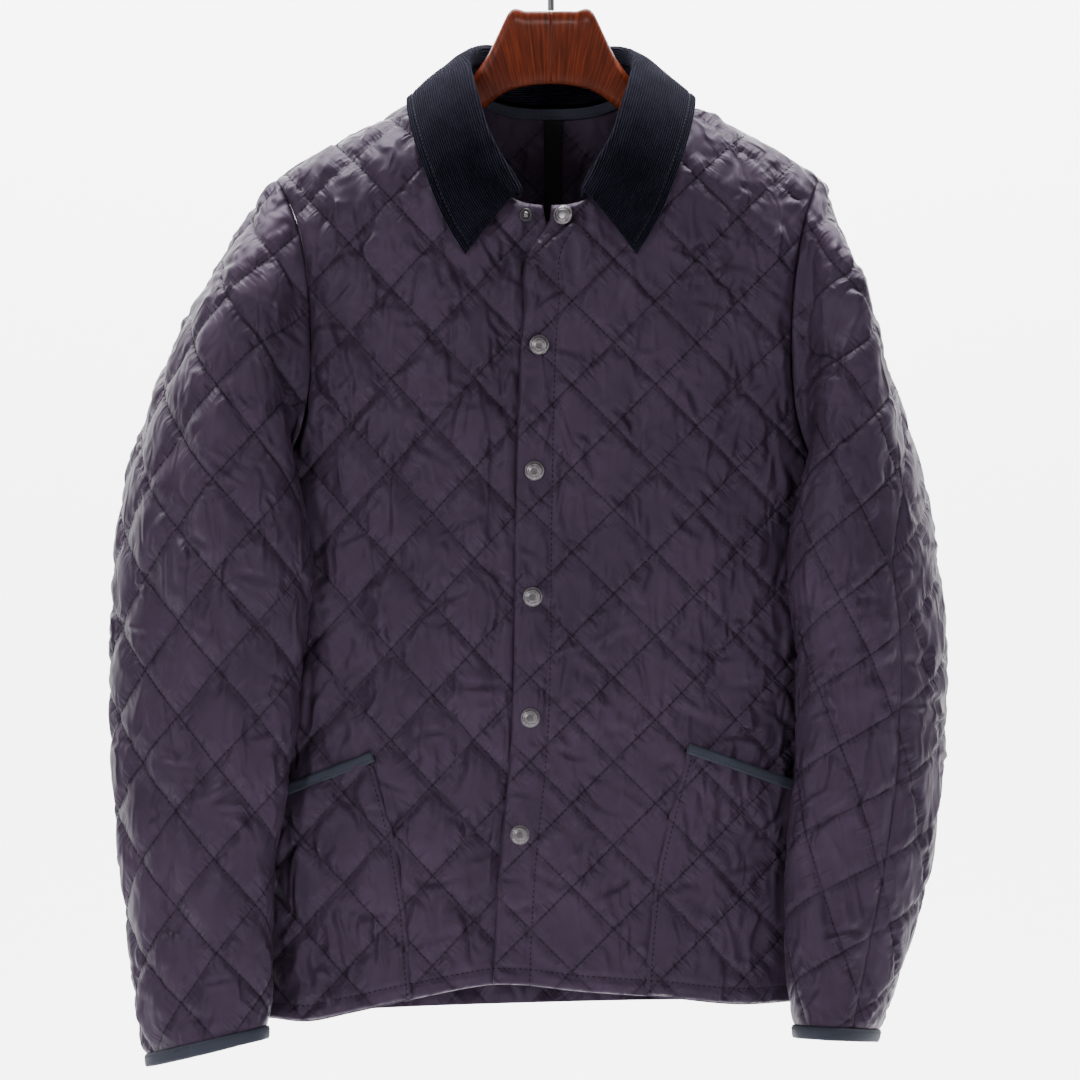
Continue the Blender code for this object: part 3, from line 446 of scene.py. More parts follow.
def shell(name, outer, inner, look, uv=None, closed=False, skip=4):
    """A closed wall of cloth: a fine outer face, a coarser inner face and the rims between them."""
    rows, columns = outer.shape[:2]
    pick_r = np.unique(np.concatenate([np.arange(0, rows, skip), [rows - 1]]))
    last_c = [] if closed else [columns - 1]
    pick_c = np.unique(np.concatenate([np.arange(0, columns, skip), last_c])).astype(int)
    coarse = inner[np.ix_(pick_r, pick_c)]
    points = np.concatenate([outer.reshape(-1, 3), coarse.reshape(-1, 3)])
    start = rows * columns
    faces = list(quads(rows, columns, closed))
    nr, nc = coarse.shape[:2]
    faces += list(quads(nr, nc, closed, start, flip=True))
    at = lambda r, c: start + r * nc + (c % nc)
    out = lambda r, c: r * columns + (c % columns)
    spans = list(zip(pick_c, list(pick_c[1:]) + ([columns] if closed else [])))
    for k, (c0, c1) in enumerate(spans):
        low = [out(0, c) for c in range(c0, c1 + 1)]
        faces.append(np.array(low[::-1] + [at(0, k), at(0, k + 1)]))
        high = [out(rows - 1, c) for c in range(c0, c1 + 1)]
        faces.append(np.array(high + [at(nr - 1, k + 1), at(nr - 1, k)]))
    if not closed:
        for k in range(nr - 1):
            r0, r1 = pick_r[k], pick_r[k + 1]
            left = [out(r, 0) for r in range(r0, r1 + 1)]
            faces.append(np.array(left + [at(k + 1, 0), at(k, 0)]))
            right = [out(r, columns - 1) for r in range(r0, r1 + 1)]
            faces.append(np.array(right[::-1] + [at(k, nc - 1), at(k + 1, nc - 1)]))
    whole = None
    if uv is not None:
        whole = np.concatenate([uv.reshape(-1, 2), uv[np.ix_(pick_r, pick_c)].reshape(-1, 2)])
    return new_object(name, points, faces, look, whole)


def stitch_points(path, normals, lift=0.0002, pitch=STITCH_PITCH, long=STITCH, wide=0.00050, phase=0.0):
    """Small threads, each a low ridge, along a path of points."""
    length = distances(path)
    starts = np.arange(phase * pitch, length[-1] - long, pitch)
    if len(starts) == 0:
        return np.zeros((0, 5, 3))
    at = lambda s, of: np.stack([np.interp(s, length, of[:, k]) for k in range(3)], axis=1)
    a, b, m = at(starts, path), at(starts + long, path), at(starts + long / 2, path)
    n = unit(at(starts + long / 2, normals))
    side = unit(np.cross(b - a, n))
    a, b, m = a + n * lift * 0.2, b + n * lift * 0.2, m + n * lift
    return np.stack([a, m + side * wide, b, m - side * wide, m + n * wide * 0.9], axis=1)


def stitch_object(name, groups, look):
    groups = [g for g in groups if len(g)]
    points = np.concatenate(groups).reshape(-1, 3)
    base = np.arange(len(points) // 5)[:, None, None] * 5
    faces = (base + np.array([[0, 1, 4], [1, 2, 4], [2, 3, 4], [3, 0, 4]])[None]).reshape(-1, 3)
    return new_object(name, points, faces, look)


def crossings(points, normals, value, keep):
    """Paths over a grid where value passes each whole number, as lists of points and normals."""
    paths = []
    for n in range(int(math.floor(value.min())), int(math.ceil(value.max())) + 1):
        sign = value - n
        hit = (sign[:, :-1] * sign[:, 1:] <= 0) & (np.abs(sign[:, :-1] - sign[:, 1:]) > 1e-9)
        has = hit.any(axis=1)
        rows = np.nonzero(has)[0]
        if len(rows) < 3:
            continue
        columns = hit.argmax(axis=1)[rows]
        t = sign[rows, columns] / (sign[rows, columns] - sign[rows, columns + 1])
        t = t[:, None]
        where = points[rows, columns] * (1 - t) + points[rows, columns + 1] * t
        up = normals[rows, columns] * (1 - t) + normals[rows, columns + 1] * t
        fine = keep[rows, columns]
        cut = np.nonzero((np.diff(rows) > 1) | ~fine[1:] | ~fine[:-1])[0] + 1
        for part in np.split(np.arange(len(rows)), cut):
            if len(part) > 3 and fine[part].all():
                paths.append((where[part], up[part]))
    return paths


def quilt_stitches(points, normals, u, v, quilt, keep):
    groups = []
    for value in diamond_lines(u, v, quilt):
        for path, up in crossings(points, normals, value, keep):
            groups.append(stitch_points(path, up, phase=(len(groups) * 0.37) % 1))
    return groups


# ---- looks -------------------------------------------------------

class Look:
    """A material and its shader nodes, wired up as they are added."""

    def __init__(self, name):
        self.material = bpy.data.materials.new(name)
        self.material.use_nodes = True
        self.tree = self.material.node_tree

    def feed(self, made, inputs):
        """Each input takes a value or another node's output."""
        for key, value in inputs.items():
            if isinstance(value, bpy.types.NodeSocket):
                self.tree.links.new(value, made.inputs[key])
            else:
                made.inputs[key].default_value = value
        return made

    def add(self, kind, out, inputs=None, **settings):
        """Adds a node and returns one of its outputs."""
        made = self.tree.nodes.new("ShaderNode" + kind)
        for key, value in settings.items():
            setattr(made, key, value)
        return self.feed(made, inputs or {}).outputs[out]

    def maths(self, operation, *inputs):
        return self.add("Math", 0, dict(enumerate(inputs)), operation=operation)

    def place(self):
        return self.add("TexCoord", "Object")

    def split(self, vector):
        return self.feed(self.tree.nodes.new("ShaderNodeSeparateXYZ"), {"Vector": vector}).outputs

    def joined(self, **axes):
        return self.add("CombineXYZ", "Vector", axes)

    def noise(self, vector, scale, detail, kind="FBM", **inputs):
        inputs.update(Vector=vector, Scale=scale, Detail=detail)
        return self.add("TexNoise", "Fac", inputs, noise_type=kind)

    def mapped(self, value, to, span=(0.0, 1.0), kind="LINEAR"):
        inputs = {"Value": value, "From Min": span[0], "From Max": span[1], "To Min": to[0], "To Max": to[1]}
        return self.add("MapRange", "Result", inputs, interpolation_type=kind)

    def bump(self, height, strength, distance, **inputs):
        inputs.update(Height=height, Strength=strength, Distance=distance)
        return self.add("Bump", "Normal", inputs)

    def ramp(self, value, stops):
        made = self.feed(self.tree.nodes.new("ShaderNodeValToRGB"), {"Fac": value})
        elements = made.color_ramp.elements
        for element, (at, colour) in ((elements[0], stops[0]), (elements[1], stops[-1])):
            element.position, element.color = at, (*colour, 1)
        for at, colour in stops[1:-1]:
            elements.new(at).color = (*colour, 1)
        return made.outputs["Color"]

    def shaded(self, **inputs):
        """Sets the surface's inputs, whose names are written with _ for a space, and returns the material."""
        named = {key.replace("_", " "): value for key, value in inputs.items()}
        self.feed(self.tree.nodes["Principled BSDF"], named)
        return self.material


def cloth_look(name, dark, light, roughness, sheen, weave, weave_depth, specular):
    """Woven cloth: a fine weave and a little variation in colour and gloss."""
    look = Look(name)
    blotch = look.noise(look.place(), 14.0, 5.0)
    return look.shaded(Base_Color=look.ramp(blotch, [(0.3, dark), (0.7, light)]),
                       Roughness=look.mapped(blotch, (roughness - 0.05, roughness + 0.07)),
                       Sheen_Weight=sheen, Sheen_Roughness=0.35, Specular_IOR_Level=specular,
                       Normal=look.bump(look.noise(look.place(), weave, 2.0), 0.5, weave_depth))


def stitched_cloth():
    """Thin satin nylon: creases that run square to the stitches, crumples between them, a weave, and painted
    shade along the stitch lines.
    """
    look = Look("nylon_shell")
    blotch = look.noise(look.place(), 14.0, 5.0)
    colour = look.ramp(blotch, [(0.3, (0.0163, 0.0106, 0.0190)), (0.7, (0.0238, 0.0156, 0.0274))])
    axes = look.split(look.add("UVMap", "UV", uv_map="cloth"))
    pulls, painted_groove_shades = [], []
    for this, other in (("X", "Y"), ("Y", "X")):
        near = look.maths("PINGPONG", axes[this], 0.5)
        fade = look.mapped(near, (1.0, 0.0), (0.0, 0.36), "SMOOTHSTEP")
        painted_groove_shades.append(look.mapped(near, (0.62, 1.0), (0.004, 0.030), "SMOOTHSTEP"))
        flow = look.joined(X=look.maths("MULTIPLY", axes[other], 6.5),
                           Y=look.maths("MULTIPLY", axes[this], 1.3))
        pull = look.noise(flow, 1.0, 2.0, Roughness=0.5, Distortion=0.5)
        pulls.append(look.maths("MULTIPLY", pull, fade))
    # Painted shade: the colour is darkened along the stitch lines, where the cloth dips into grooves
    groove_shaded_colour = {0: colour, "Scale": look.maths("MULTIPLY", *painted_groove_shades)}
    pucker = look.bump(look.maths("ADD", *pulls), 1.0, 0.0030)
    hang = look.add("VectorMath", "Vector", {0: look.place(), 1: (1.0, 1.0, 0.38)}, operation="MULTIPLY")
    crumple = look.noise(hang, 70.0, 3.0, "RIDGED_MULTIFRACTAL", Roughness=0.5, Distortion=0.6)
    rumpled = look.bump(crumple, 1.0, 0.0050, Normal=pucker)
    weave = look.noise(look.place(), 1500.0, 2.0)
    return look.shaded(Base_Color=look.add("VectorMath", "Vector", groove_shaded_colour, operation="SCALE"),
                       Roughness=look.mapped(blotch, (0.42, 0.56)), Specular_IOR_Level=0.09,
                       Specular_Tint=(0.86, 0.70, 1.0, 1),
                       Normal=look.bump(weave, 0.5, 0.00012, Normal=rumpled))


def corduroy_look():
    """Ribbed pile: its colour is painted darker in the troughs between the wales as shade, lighter on the
    wales, with random worn patches.
    """
    look = Look("corduroy_pile")
    axes = look.split(look.add("UVMap", "UV", uv_map="cloth"))
    near = look.maths("PINGPONG", axes["X"], 0.5)
    height = look.maths("MULTIPLY_ADD", look.noise(look.place(), 420.0, 4.0), 0.55, near)
    wear_and_trough_shade = look.maths("MULTIPLY_ADD", look.noise(look.place(), 60.0, 3.0), 0.50, height)
    # Painted shade: the colour follows the wales' height, dark in the troughs and light on the ridges, plus
    # random wear
    colour = look.ramp(wear_and_trough_shade, [(0.55, (0.0004, 0.0004, 0.0008)), (0.80, (0.0016, 0.0015, 0.0031)),
                              (1.0, (0.0062, 0.0058, 0.0115))])
    return look.shaded(Base_Color=colour, Roughness=0.95, Specular_IOR_Level=0.02, Sheen_Weight=0.03,
                       Sheen_Tint=(0.6, 0.6, 0.9, 1), Normal=look.bump(height, 0.8, 0.0012))


def metal_look(name, colour, roughness, wear):
    look = Look(name)
    spots = look.noise(look.place(), 420.0, 4.0)
    light = tuple(min(1.0, c * 1.35) for c in colour)
    return look.shaded(Base_Color=look.ramp(spots, [(0.35, colour), (0.75, light)]),
                       Roughness=look.mapped(spots, (roughness, roughness + wear)), Metallic=1.0)


def wood_look():
    """Varnished wood whose grain fans out from below the middle of the hanger."""
    look = Look("hanger_varnish")
    axes = look.split(look.place())
    # Angle about a point under the hanger's middle gives lines that fan upward
    fan = look.maths("ARCTAN2", axes["X"], look.maths("ADD", axes["Z"], 0.235))
    flow = look.joined(X=look.maths("MULTIPLY", fan, 26.0), Y=look.maths("MULTIPLY", axes["Z"], 9.0),
                       Z=look.maths("MULTIPLY", axes["Y"], 30.0))
    grain = look.noise(flow, 2.6, 7.0, Roughness=0.62, Distortion=0.35)
    colour = look.ramp(grain, [(0.30, (0.022, 0.0034, 0.0012)), (0.48, (0.056, 0.0080, 0.0022)),
                               (0.60, (0.086, 0.0130, 0.0032)), (0.78, (0.125, 0.0240, 0.0056))])
    return look.shaded(Base_Color=colour, Roughness=0.42, Specular_IOR_Level=0.08, Coat_Weight=0.05,
                       Coat_Roughness=0.16, Normal=look.bump(grain, 0.12, 0.0004))


NYLON = stitched_cloth()
CORDUROY = corduroy_look()
RIBBON = cloth_look("ribbon_weave", (0.0080, 0.0095, 0.0165), (0.0125, 0.0150, 0.0250), 0.80, 0.03, 1300.0,
                    0.0003, 0.25)
TAPE_BLACK = cloth_look("black_tape_weave", (0.0035, 0.0035, 0.0045), (0.006, 0.006, 0.0075), 0.88, 0.1,
                        1300.0, 0.0003, 0.15)
THREAD = cloth_look("thread", (0.0030, 0.0020, 0.0042), (0.0050, 0.0034, 0.0070), 0.8, 0.0, 1800.0, 0.0001,
                    0.10)
THREAD_NAVY = cloth_look("thread_navy", (0.003, 0.003, 0.006), (0.006, 0.006, 0.011), 0.7, 0.0, 1800.0,
                         0.0001, 0.25)
SNAP = metal_look("snap_gunmetal", (0.085, 0.078, 0.084), 0.30, 0.14)
SNAP_DARK = metal_look("snap_rim", (0.03, 0.028, 0.03), 0.4, 0.15)
HOOK = metal_look("hook_steel", (0.06, 0.06, 0.065), 0.34, 0.12)
WOOD = wood_look()


def finished(thing, slot, *nodes):
    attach(thing, "root")
    if nodes:
        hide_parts(*nodes)
    return thing


# ---- fronts and back ---------------------------------------------

TABLE_X, TABLE_D = np.linspace(-0.270, 0.256, 527), np.linspace(0.085, 0.865, 781)


def flat_tables(back):
    """Flat coordinates over the body: across from its middle, and up from drop 0.60."""
    x, drop = np.meshgrid(TABLE_X, TABLE_D)
    y = body_y(x, drop, back)
    u = np.concatenate([np.zeros((len(TABLE_D), 1)), np.cumsum(np.hypot(np.diff(x, axis=1),
                                                                        np.diff(y, axis=1)), 1)], 1)
    v = np.concatenate([np.zeros((1, len(TABLE_X))), np.cumsum(np.hypot(np.diff(drop, axis=0),
                                                                        np.diff(y, axis=0)), 0)], 0)
    middle, level = np.argmin(np.abs(TABLE_X)), np.argmin(np.abs(TABLE_D - 0.60))
    return u - u[:, middle:middle + 1], v - v[level:level + 1]


def lookup(table, x, drop):
    i = np.clip((x - TABLE_X[0]) / (TABLE_X[1] - TABLE_X[0]), 0, len(TABLE_X) - 1.001)
    j = np.clip((drop - TABLE_D[0]) / (TABLE_D[1] - TABLE_D[0]), 0, len(TABLE_D) - 1.001)
    ii, jj = i.astype(int), j.astype(int)
    s, t = i - ii, j - jj
    return ((table[jj, ii] * (1 - s) + table[jj, ii + 1] * s) * (1 - t)
            + (table[jj + 1, ii] * (1 - s) + table[jj + 1, ii + 1] * s) * t)


FRONT_U, FRONT_V = flat_tables(False)
BACK_U, BACK_V = flat_tables(True)

POCKET_INNER = {-1: ((-0.1355, 0.6305), (-0.124, 0.6729), (-0.1158, 0.7092), (-0.109, 0.7554),
                     (-0.1045, 0.8150)),
                1: ((0.1045, 0.6237), (0.0908, 0.6729), (0.081, 0.7115), (0.0742, 0.7600), (0.0705, 0.8130))}
POCKET_MOUTH = {-1: ((-0.1355, 0.6305), (-0.199, 0.6554), (-0.2180, 0.6625)),
                1: ((0.1045, 0.6237), (0.182, 0.6517), (0.2020, 0.6590))}

# Large folds of the fronts: troughs are negative
FRONT_FOLDS = {
    True: ((((0.176, 0.235), (0.170, 0.30), (0.174, 0.37)), 0.010, 0.0035),
           (((0.165, 0.33), (0.120, 0.39), (0.070, 0.42)), 0.012, -0.0022),
           (((0.150, 0.47), (0.125, 0.58), (0.135, 0.64)), 0.014, -0.0030),
           (((0.060, 0.53), (0.045, 0.66), (0.055, 0.76)), 0.016, -0.0024),
           (((0.008, 0.25), (0.003, 0.40), (0.001, 0.56)), 0.007, -0.0010),
           (((-0.016, 0.247), (0.002, 0.2335), (0.015, 0.226)), 0.0032, -0.0028),
           (((-0.010, 0.2525), (0.006, 0.2400), (0.022, 0.2330)), 0.0036, 0.0008)),
    False: ((((-0.172, 0.25), (-0.166, 0.33), (-0.170, 0.40)), 0.011, 0.0032),
            (((-0.165, 0.36), (-0.120, 0.43), (-0.080, 0.46)), 0.012, -0.0020),
            (((-0.160, 0.46), (-0.150, 0.56), (-0.165, 0.62)), 0.014, -0.0030),
            (((-0.085, 0.50), (-0.075, 0.62), (-0.070, 0.76)), 0.016, -0.0026),
            (((-0.042, 0.24), (-0.047, 0.34), (-0.050, 0.44)), 0.009, -0.0015)),
}


def pocket_mask(side, x, drop):
    """1 where the pocket lies over the front, softened at its border."""
    inner = np.asarray(POCKET_INNER[side])
    mouth = np.asarray(POCKET_MOUTH[side])
    edge_x = np.interp(drop, inner[:, 1], inner[:, 0])
    top = np.interp(side * x, side * mouth[:, 0], mouth[:, 1])
    across = step_curve((side * (x - edge_x)) / 0.003)
    return across * step_curve((drop - top) / 0.003)


def displaced(points, normals, height):
    return points + normals * height[..., None]


def make_front(left):
    side = 1 if left else -1
    rows = panel_rows()
    count = int(0.262 / FINE)
    across = np.unique(np.concatenate([np.linspace(0, 1, count), np.array([0.0022, 0.005, 0.010])]).round(6))
    start_x = 0.0 if left else -0.006
    free_edge = placket_edge_at if left else underlap_edge_at
    patch = half_panel(side, False, rows, across, start_x, free_edge, front_hem_at, float(free_edge(0.81)))
    x, drop = patch[..., 0], patch[..., 1]
    y = body_y(x, drop) - FACE_OFF
    if not left:
        y = y + underlap_sink(x, drop)
    points = place(x, drop, y)
    normals = grid_normals(points)
    if np.sum(normals[..., 1]) > 0:
        normals = -normals
    u, v = lookup(FRONT_U, x, drop), lookup(FRONT_V, x, drop)
    from_free, walked = lengths(points, 1), lengths(points, 0)
    from_side = from_free[:, -1:] - from_free
    from_hem, from_top = walked, walked[-1:] - walked
    normals = squared(normals, from_side, from_top, (rows <= SIDE_SHARE)[:, None],
                      (across >= NECK_SHARE)[None])
    base = points - normals * WALL
    quilt = FRONT_QUILT[left]
    pad = quilted(u, v, quilt, 11 if left else 23)
    # The pads flatten towards seams, and the cloth turns in there
    calm = np.tanh(from_side / 0.006) * np.tanh(from_top / 0.007) * np.tanh(from_hem / 0.007)
    calm = calm * (np.tanh(from_free / 0.007) if left else np.tanh(from_free / 0.010))
    h = pad * calm + folds(x, drop, FRONT_FOLDS[left])
    h -= 0.0016 * np.exp(-from_side / 0.0030) + 0.0012 * np.exp(-from_top / 0.003)
    if left:
        off = from_free - PLACKET_STITCH
        h -= 0.0015 * np.exp(-(off / 0.0022) ** 2) * step_curve((drop - 0.222) / 0.01)
        h += 0.0006 * Noise(41)(drop / 0.0058) * np.exp(-np.abs(off) / 0.006)
    sew_hem(h, x, from_hem, HEM_STITCH, 0.0015, 43 if left else 44)
    h -= rolled(from_hem) + rolled(from_free)
    covered = pocket_mask(side, x, drop)
    h = h * (1 - covered) - 0.0006 * covered
    if not left:
        # Under the left front the pads are pressed flat
        under = step_curve((x - placket_edge_at(drop) + 0.006) / 0.010)
        h = h * (1 - 0.85 * under) - 0.0004 * under
    outer = displaced(points, normals, h)
    word = "left" if left else "right"
    thing = shell(f"front_{word}_quilted", outer, base, NYLON, np.stack(diamond_lines(u, v, quilt), -1))
    finished(thing, "nylon", f"front_{word}")
    fine_normals = facing(grid_normals(outer), normals)
    keep = ((from_side > 0.003) & (from_top > 0.003) & (from_hem > 0.0125) & (covered < 0.5)
            & (from_free > (0.0285 if left else 0.003)))
    if left:
        keep |= (from_free > 0.003) & (from_free < 0.0270) & (from_hem > 0.0125) & (drop > 0.235)
    groups = quilt_stitches(outer, fine_normals, u, v, quilt, keep)
    # The placket's and the hem's own rows of stitches
    everywhere = np.ones_like(keep)
    hem = [crossing_row(outer, fine_normals, from_hem - HEM_STITCH)]
    if left:
        hem.append(crossing_column(outer, fine_normals, from_free - PLACKET_STITCH, drop > 0.235))
    for path, up in hem:
        groups.append(stitch_points(path, up))
    sewn = stitch_object(f"front_{word}_stitches", groups, THREAD)
    finished(sewn, "nylon")
    return {"points": points, "outer": outer}


def crossing_column(points, normals, value, keep):
    """One path up the rows where value passes zero, as points and normals."""
    hit = (value[:, :-1] < 0) & (value[:, 1:] >= 0)
    columns = hit.argmax(axis=1)
    rows = np.arange(points.shape[0])
    good = hit.any(axis=1) & keep[rows, columns]
    rows, columns = rows[good], columns[good]
    t = (-value[rows, columns] / (value[rows, columns + 1] - value[rows, columns]))[:, None]
    return (points[rows, columns] * (1 - t) + points[rows, columns + 1] * t,
            normals[rows, columns] * (1 - t) + normals[rows, columns + 1] * t)


def crossing_row(points, normals, value):
    """The same across the columns."""
    turned_grids = points.transpose(1, 0, 2), normals.transpose(1, 0, 2), value.T
    return crossing_column(*turned_grids, np.ones(value.T.shape, bool))


def squared(normals, from_side, from_top, below_pit, on_shoulder):
    """Near side and shoulder seams both panels' normals turn square to the seam, so they tuck in together."""
    side_flat = unit(normals * np.array([1, 0.02, 0.02]))
    share = (np.exp(-(from_side / 0.008) ** 2) * below_pit)[..., None]
    normals = unit(normals * (1 - share) + side_flat * share)
    top_flat = unit(normals * np.array([1, 0.02, 1]))
    share = (np.exp(-(from_top / 0.008) ** 2) * on_shoulder)[..., None]
    return unit(normals * (1 - share) + top_flat * share)


def make_back():
    rows = panel_rows()
    across = np.linspace(0, 1, int(0.262 / (FINE * 1.25)))
    halves = []
    for side in (-1, 1):
        halves.append(half_panel(side, True, rows, across, 0.0, centre_at, back_hem_at, LEAN))
    patch = np.concatenate([halves[0][:, ::-1], halves[1][:, 1:]], axis=1)
    x, drop = patch[..., 0], patch[..., 1]
    points = place(x, drop, body_y(x, drop, back=True) + FACE_OFF)
    normals = grid_normals(points)
    if np.sum(normals[..., 1]) < 0:
        normals = -normals
    u, v = lookup(BACK_U, x, drop), lookup(BACK_V, x, drop)
    walked, up = lengths(points, 1), lengths(points, 0)
    from_side = np.minimum(walked, walked[:, -1:] - walked)
    from_hem, from_top = up, up[-1:] - up
    outward = np.concatenate([across[::-1], across[1:]])
    normals = squared(normals, from_side, from_top, (rows <= SIDE_SHARE)[:, None],
                      (outward >= NECK_SHARE)[None])
    pad = quilted(u, v, BACK_QUILT, 57)
    calm = np.tanh(from_side / 0.006) * np.tanh(from_top / 0.007) * np.tanh(from_hem / 0.007)
    back_folds = ((((-0.10, 0.24), (-0.13, 0.36), (-0.16, 0.42)), 0.016, -0.0035),
                  (((0.10, 0.24), (0.13, 0.36), (0.16, 0.42)), 0.016, -0.0035),
                  (((-0.06, 0.50), (-0.05, 0.65), (-0.07, 0.80)), 0.020, -0.0035),
                  (((0.09, 0.48), (0.07, 0.65), (0.06, 0.79)), 0.020, -0.0035),
                  (((-0.16, 0.52), (-0.14, 0.66), (-0.15, 0.78)), 0.016, -0.0030),
                  (((0.01, 0.30), (0.0, 0.50), (0.01, 0.70)), 0.022, 0.0025))
    h = pad * calm + folds(x, drop, back_folds)
    h -= 0.0018 * np.exp(-from_side / 0.0030) + 0.0014 * np.exp(-from_top / 0.003)
    sew_hem(h, x, from_hem, HEM_STITCH, 0.0015, 58)
    h -= rolled(from_hem)
    outer = displaced(points, normals, h)
    # The lining's side of the quilting shows inside the neck
    inside = points - normals * (WALL + 0.6 * quilted(u, v, BACK_QUILT, 59, 0.0024) * calm)[..., None]
    thing = shell("back_quilted", outer, inside, NYLON,
                  np.stack(diamond_lines(u, v, BACK_QUILT), -1), skip=2)
    finished(thing, "nylon", "back")
    fine_normals = facing(grid_normals(outer), normals)
    keep = (from_side > 0.003) & (from_top > 0.003) & (from_hem > 0.0125)
    groups = quilt_stitches(outer, fine_normals, u, v, BACK_QUILT, keep)
    groups.append(stitch_points(*crossing_row(outer, fine_normals, from_hem - HEM_STITCH)))
    shows = keep & (drop < 0.30) & (np.abs(x) < 0.09)
    groups += quilt_stitches(inside, -normals, u, v, BACK_QUILT, shows)
    sewn = stitch_object("back_stitches", groups, THREAD)
    finished(sewn, "nylon")
    return {"points": points, "outer": outer}


# ---- sleeves -----------------------------------------------------

SLEEVE_RIGHT = ((0.500, 0.3330, 0.1815, -0.044, 0.056), (0.557, 0.3354, 0.1885, -0.050, 0.044),
                (0.606, 0.3354, 0.192, -0.054, 0.040), (0.655, 0.3325, 0.200, -0.058, 0.038),
                (0.7145, 0.327, 0.208, -0.061, 0.037), (0.771, 0.321, 0.211, -0.064, 0.036),
                (0.815, 0.3145, 0.212, -0.066, 0.035), (0.8495, 0.3065, 0.2145, -0.068, 0.035))
SLEEVE_LEFT = ((0.500, 0.2967, 0.180, -0.046, 0.064), (0.557, 0.3015, 0.1866, -0.048, 0.057),
               (0.606, 0.3005, 0.1855, -0.050, 0.053), (0.655, 0.297, 0.184, -0.053, 0.049),
               (0.7145, 0.2880, 0.178, -0.056, 0.0445), (0.771, 0.2725, 0.177, -0.059, 0.0445),
               (0.8046, 0.2615, 0.180, -0.061, 0.046), (0.8400, 0.2490, 0.1838, -0.062, 0.047))
SLEEVE_TILT = {-1: 0.24, 1: 0.06}
SLEEVE_SHEAR = 0.34
CAP_OUT = {-1: (0.60, 0.80), 1: (0.25, 0.97)}
PIT_ANGLE = math.radians(258)
SIDE_BAND = 0.034
CUFF_GAP = 0.0012

# Large folds of the sleeves' front sides
SLEEVE_FOLDS = {
    1: ((((0.205, 0.215), (0.196, 0.26), (0.1925, 0.33), (0.194, 0.41)), 0.0052, -0.0050),
        (((0.214, 0.235), (0.210, 0.30), (0.210, 0.38)), 0.008, 0.0022),
        (((0.235, 0.34), (0.222, 0.42), (0.212, 0.48)), 0.010, -0.0030),
        (((0.262, 0.38), (0.245, 0.50), (0.240, 0.58)), 0.010, -0.0028),
        (((0.300, 0.570), (0.262, 0.562), (0.235, 0.578)), 0.0055, -0.0035),
        (((0.302, 0.590), (0.275, 0.596), (0.245, 0.592)), 0.0045, -0.0030),
        (((0.214, 0.60), (0.205, 0.68), (0.214, 0.76)), 0.009, -0.0030),
        (((0.245, 0.62), (0.232, 0.70), (0.236, 0.78)), 0.009, -0.0024)),
    -1: ((((-0.200, 0.205), (-0.197, 0.25), (-0.191, 0.31), (-0.186, 0.40)), 0.0060, -0.0016),
         (((-0.255, 0.26), (-0.235, 0.36), (-0.215, 0.46)), 0.012, -0.0030),
         (((-0.300, 0.36), (-0.270, 0.48), (-0.245, 0.56)), 0.012, -0.0026),
         (((-0.230, 0.52), (-0.222, 0.62), (-0.228, 0.70)), 0.010, -0.0032),
         (((-0.290, 0.55), (-0.262, 0.66), (-0.262, 0.74)), 0.012, -0.0028),
         (((-0.305, 0.68), (-0.280, 0.76), (-0.270, 0.82)), 0.009, -0.0022)),
}


def sleeve_ring(side, row, tilt, angles):
    drop, outer, inner, y_mid, depth = row
    x_mid, reach = (outer + inner) / 2, (outer - inner) / 2
    out = reach * np.cos(angles)
    y = y_mid - depth * np.sin(angles) + SLEEVE_SHEAR * out
    return place(side * (x_mid + out), drop + tilt * out, y)


def clear_of_body(points):
    """Moves points that would lie within the body, below the armhole, until clear of it."""
    x, drop = points[..., 0], -points[..., 2]
    armhole_low = np.interp(np.abs(x - centre_at(PIT_DROP)), (0.1835, 0.1915, 0.2080, 0.2310),
                            (0.355, 0.392, 0.420, PIT_DROP))
    share = np.clip((drop - armhole_low - 0.002) / 0.014, 0, 1)
    clear = SLEEVE_CLEAR * share
    reach = np.abs(x - centre_at(drop)) / (half_width_at(drop) + clear)
    seam = seam_y_at(drop)
    face = seam - (front_depth_at(drop) + seam + clear) * quarter_round(reach)
    moved = points.copy()
    hidden = (reach < 1) & (share > 0)
    before = points[..., 1] < seam - SIDE_BAND
    moved[..., 1] = np.where(hidden & before, np.minimum(points[..., 1], face), points[..., 1])
    away = points[..., 1] - seam
    deep = np.where(away > 0, back_depth_at(drop) - seam, front_depth_at(drop) + seam) + clear
    size = np.power(np.power(reach, ROUND) + np.power(np.abs(away) / deep, ROUND), 1 / ROUND)
    grow = np.where(~before & (share > 0), 1 / np.clip(size, 0.6, 1), 1.0)
    moved[..., 0] = np.where(before, moved[..., 0], centre_at(drop) + (x - centre_at(drop)) * grow)
    moved[..., 1] = np.where(before, moved[..., 1], seam + (points[..., 1] - seam) * grow)
    return moved


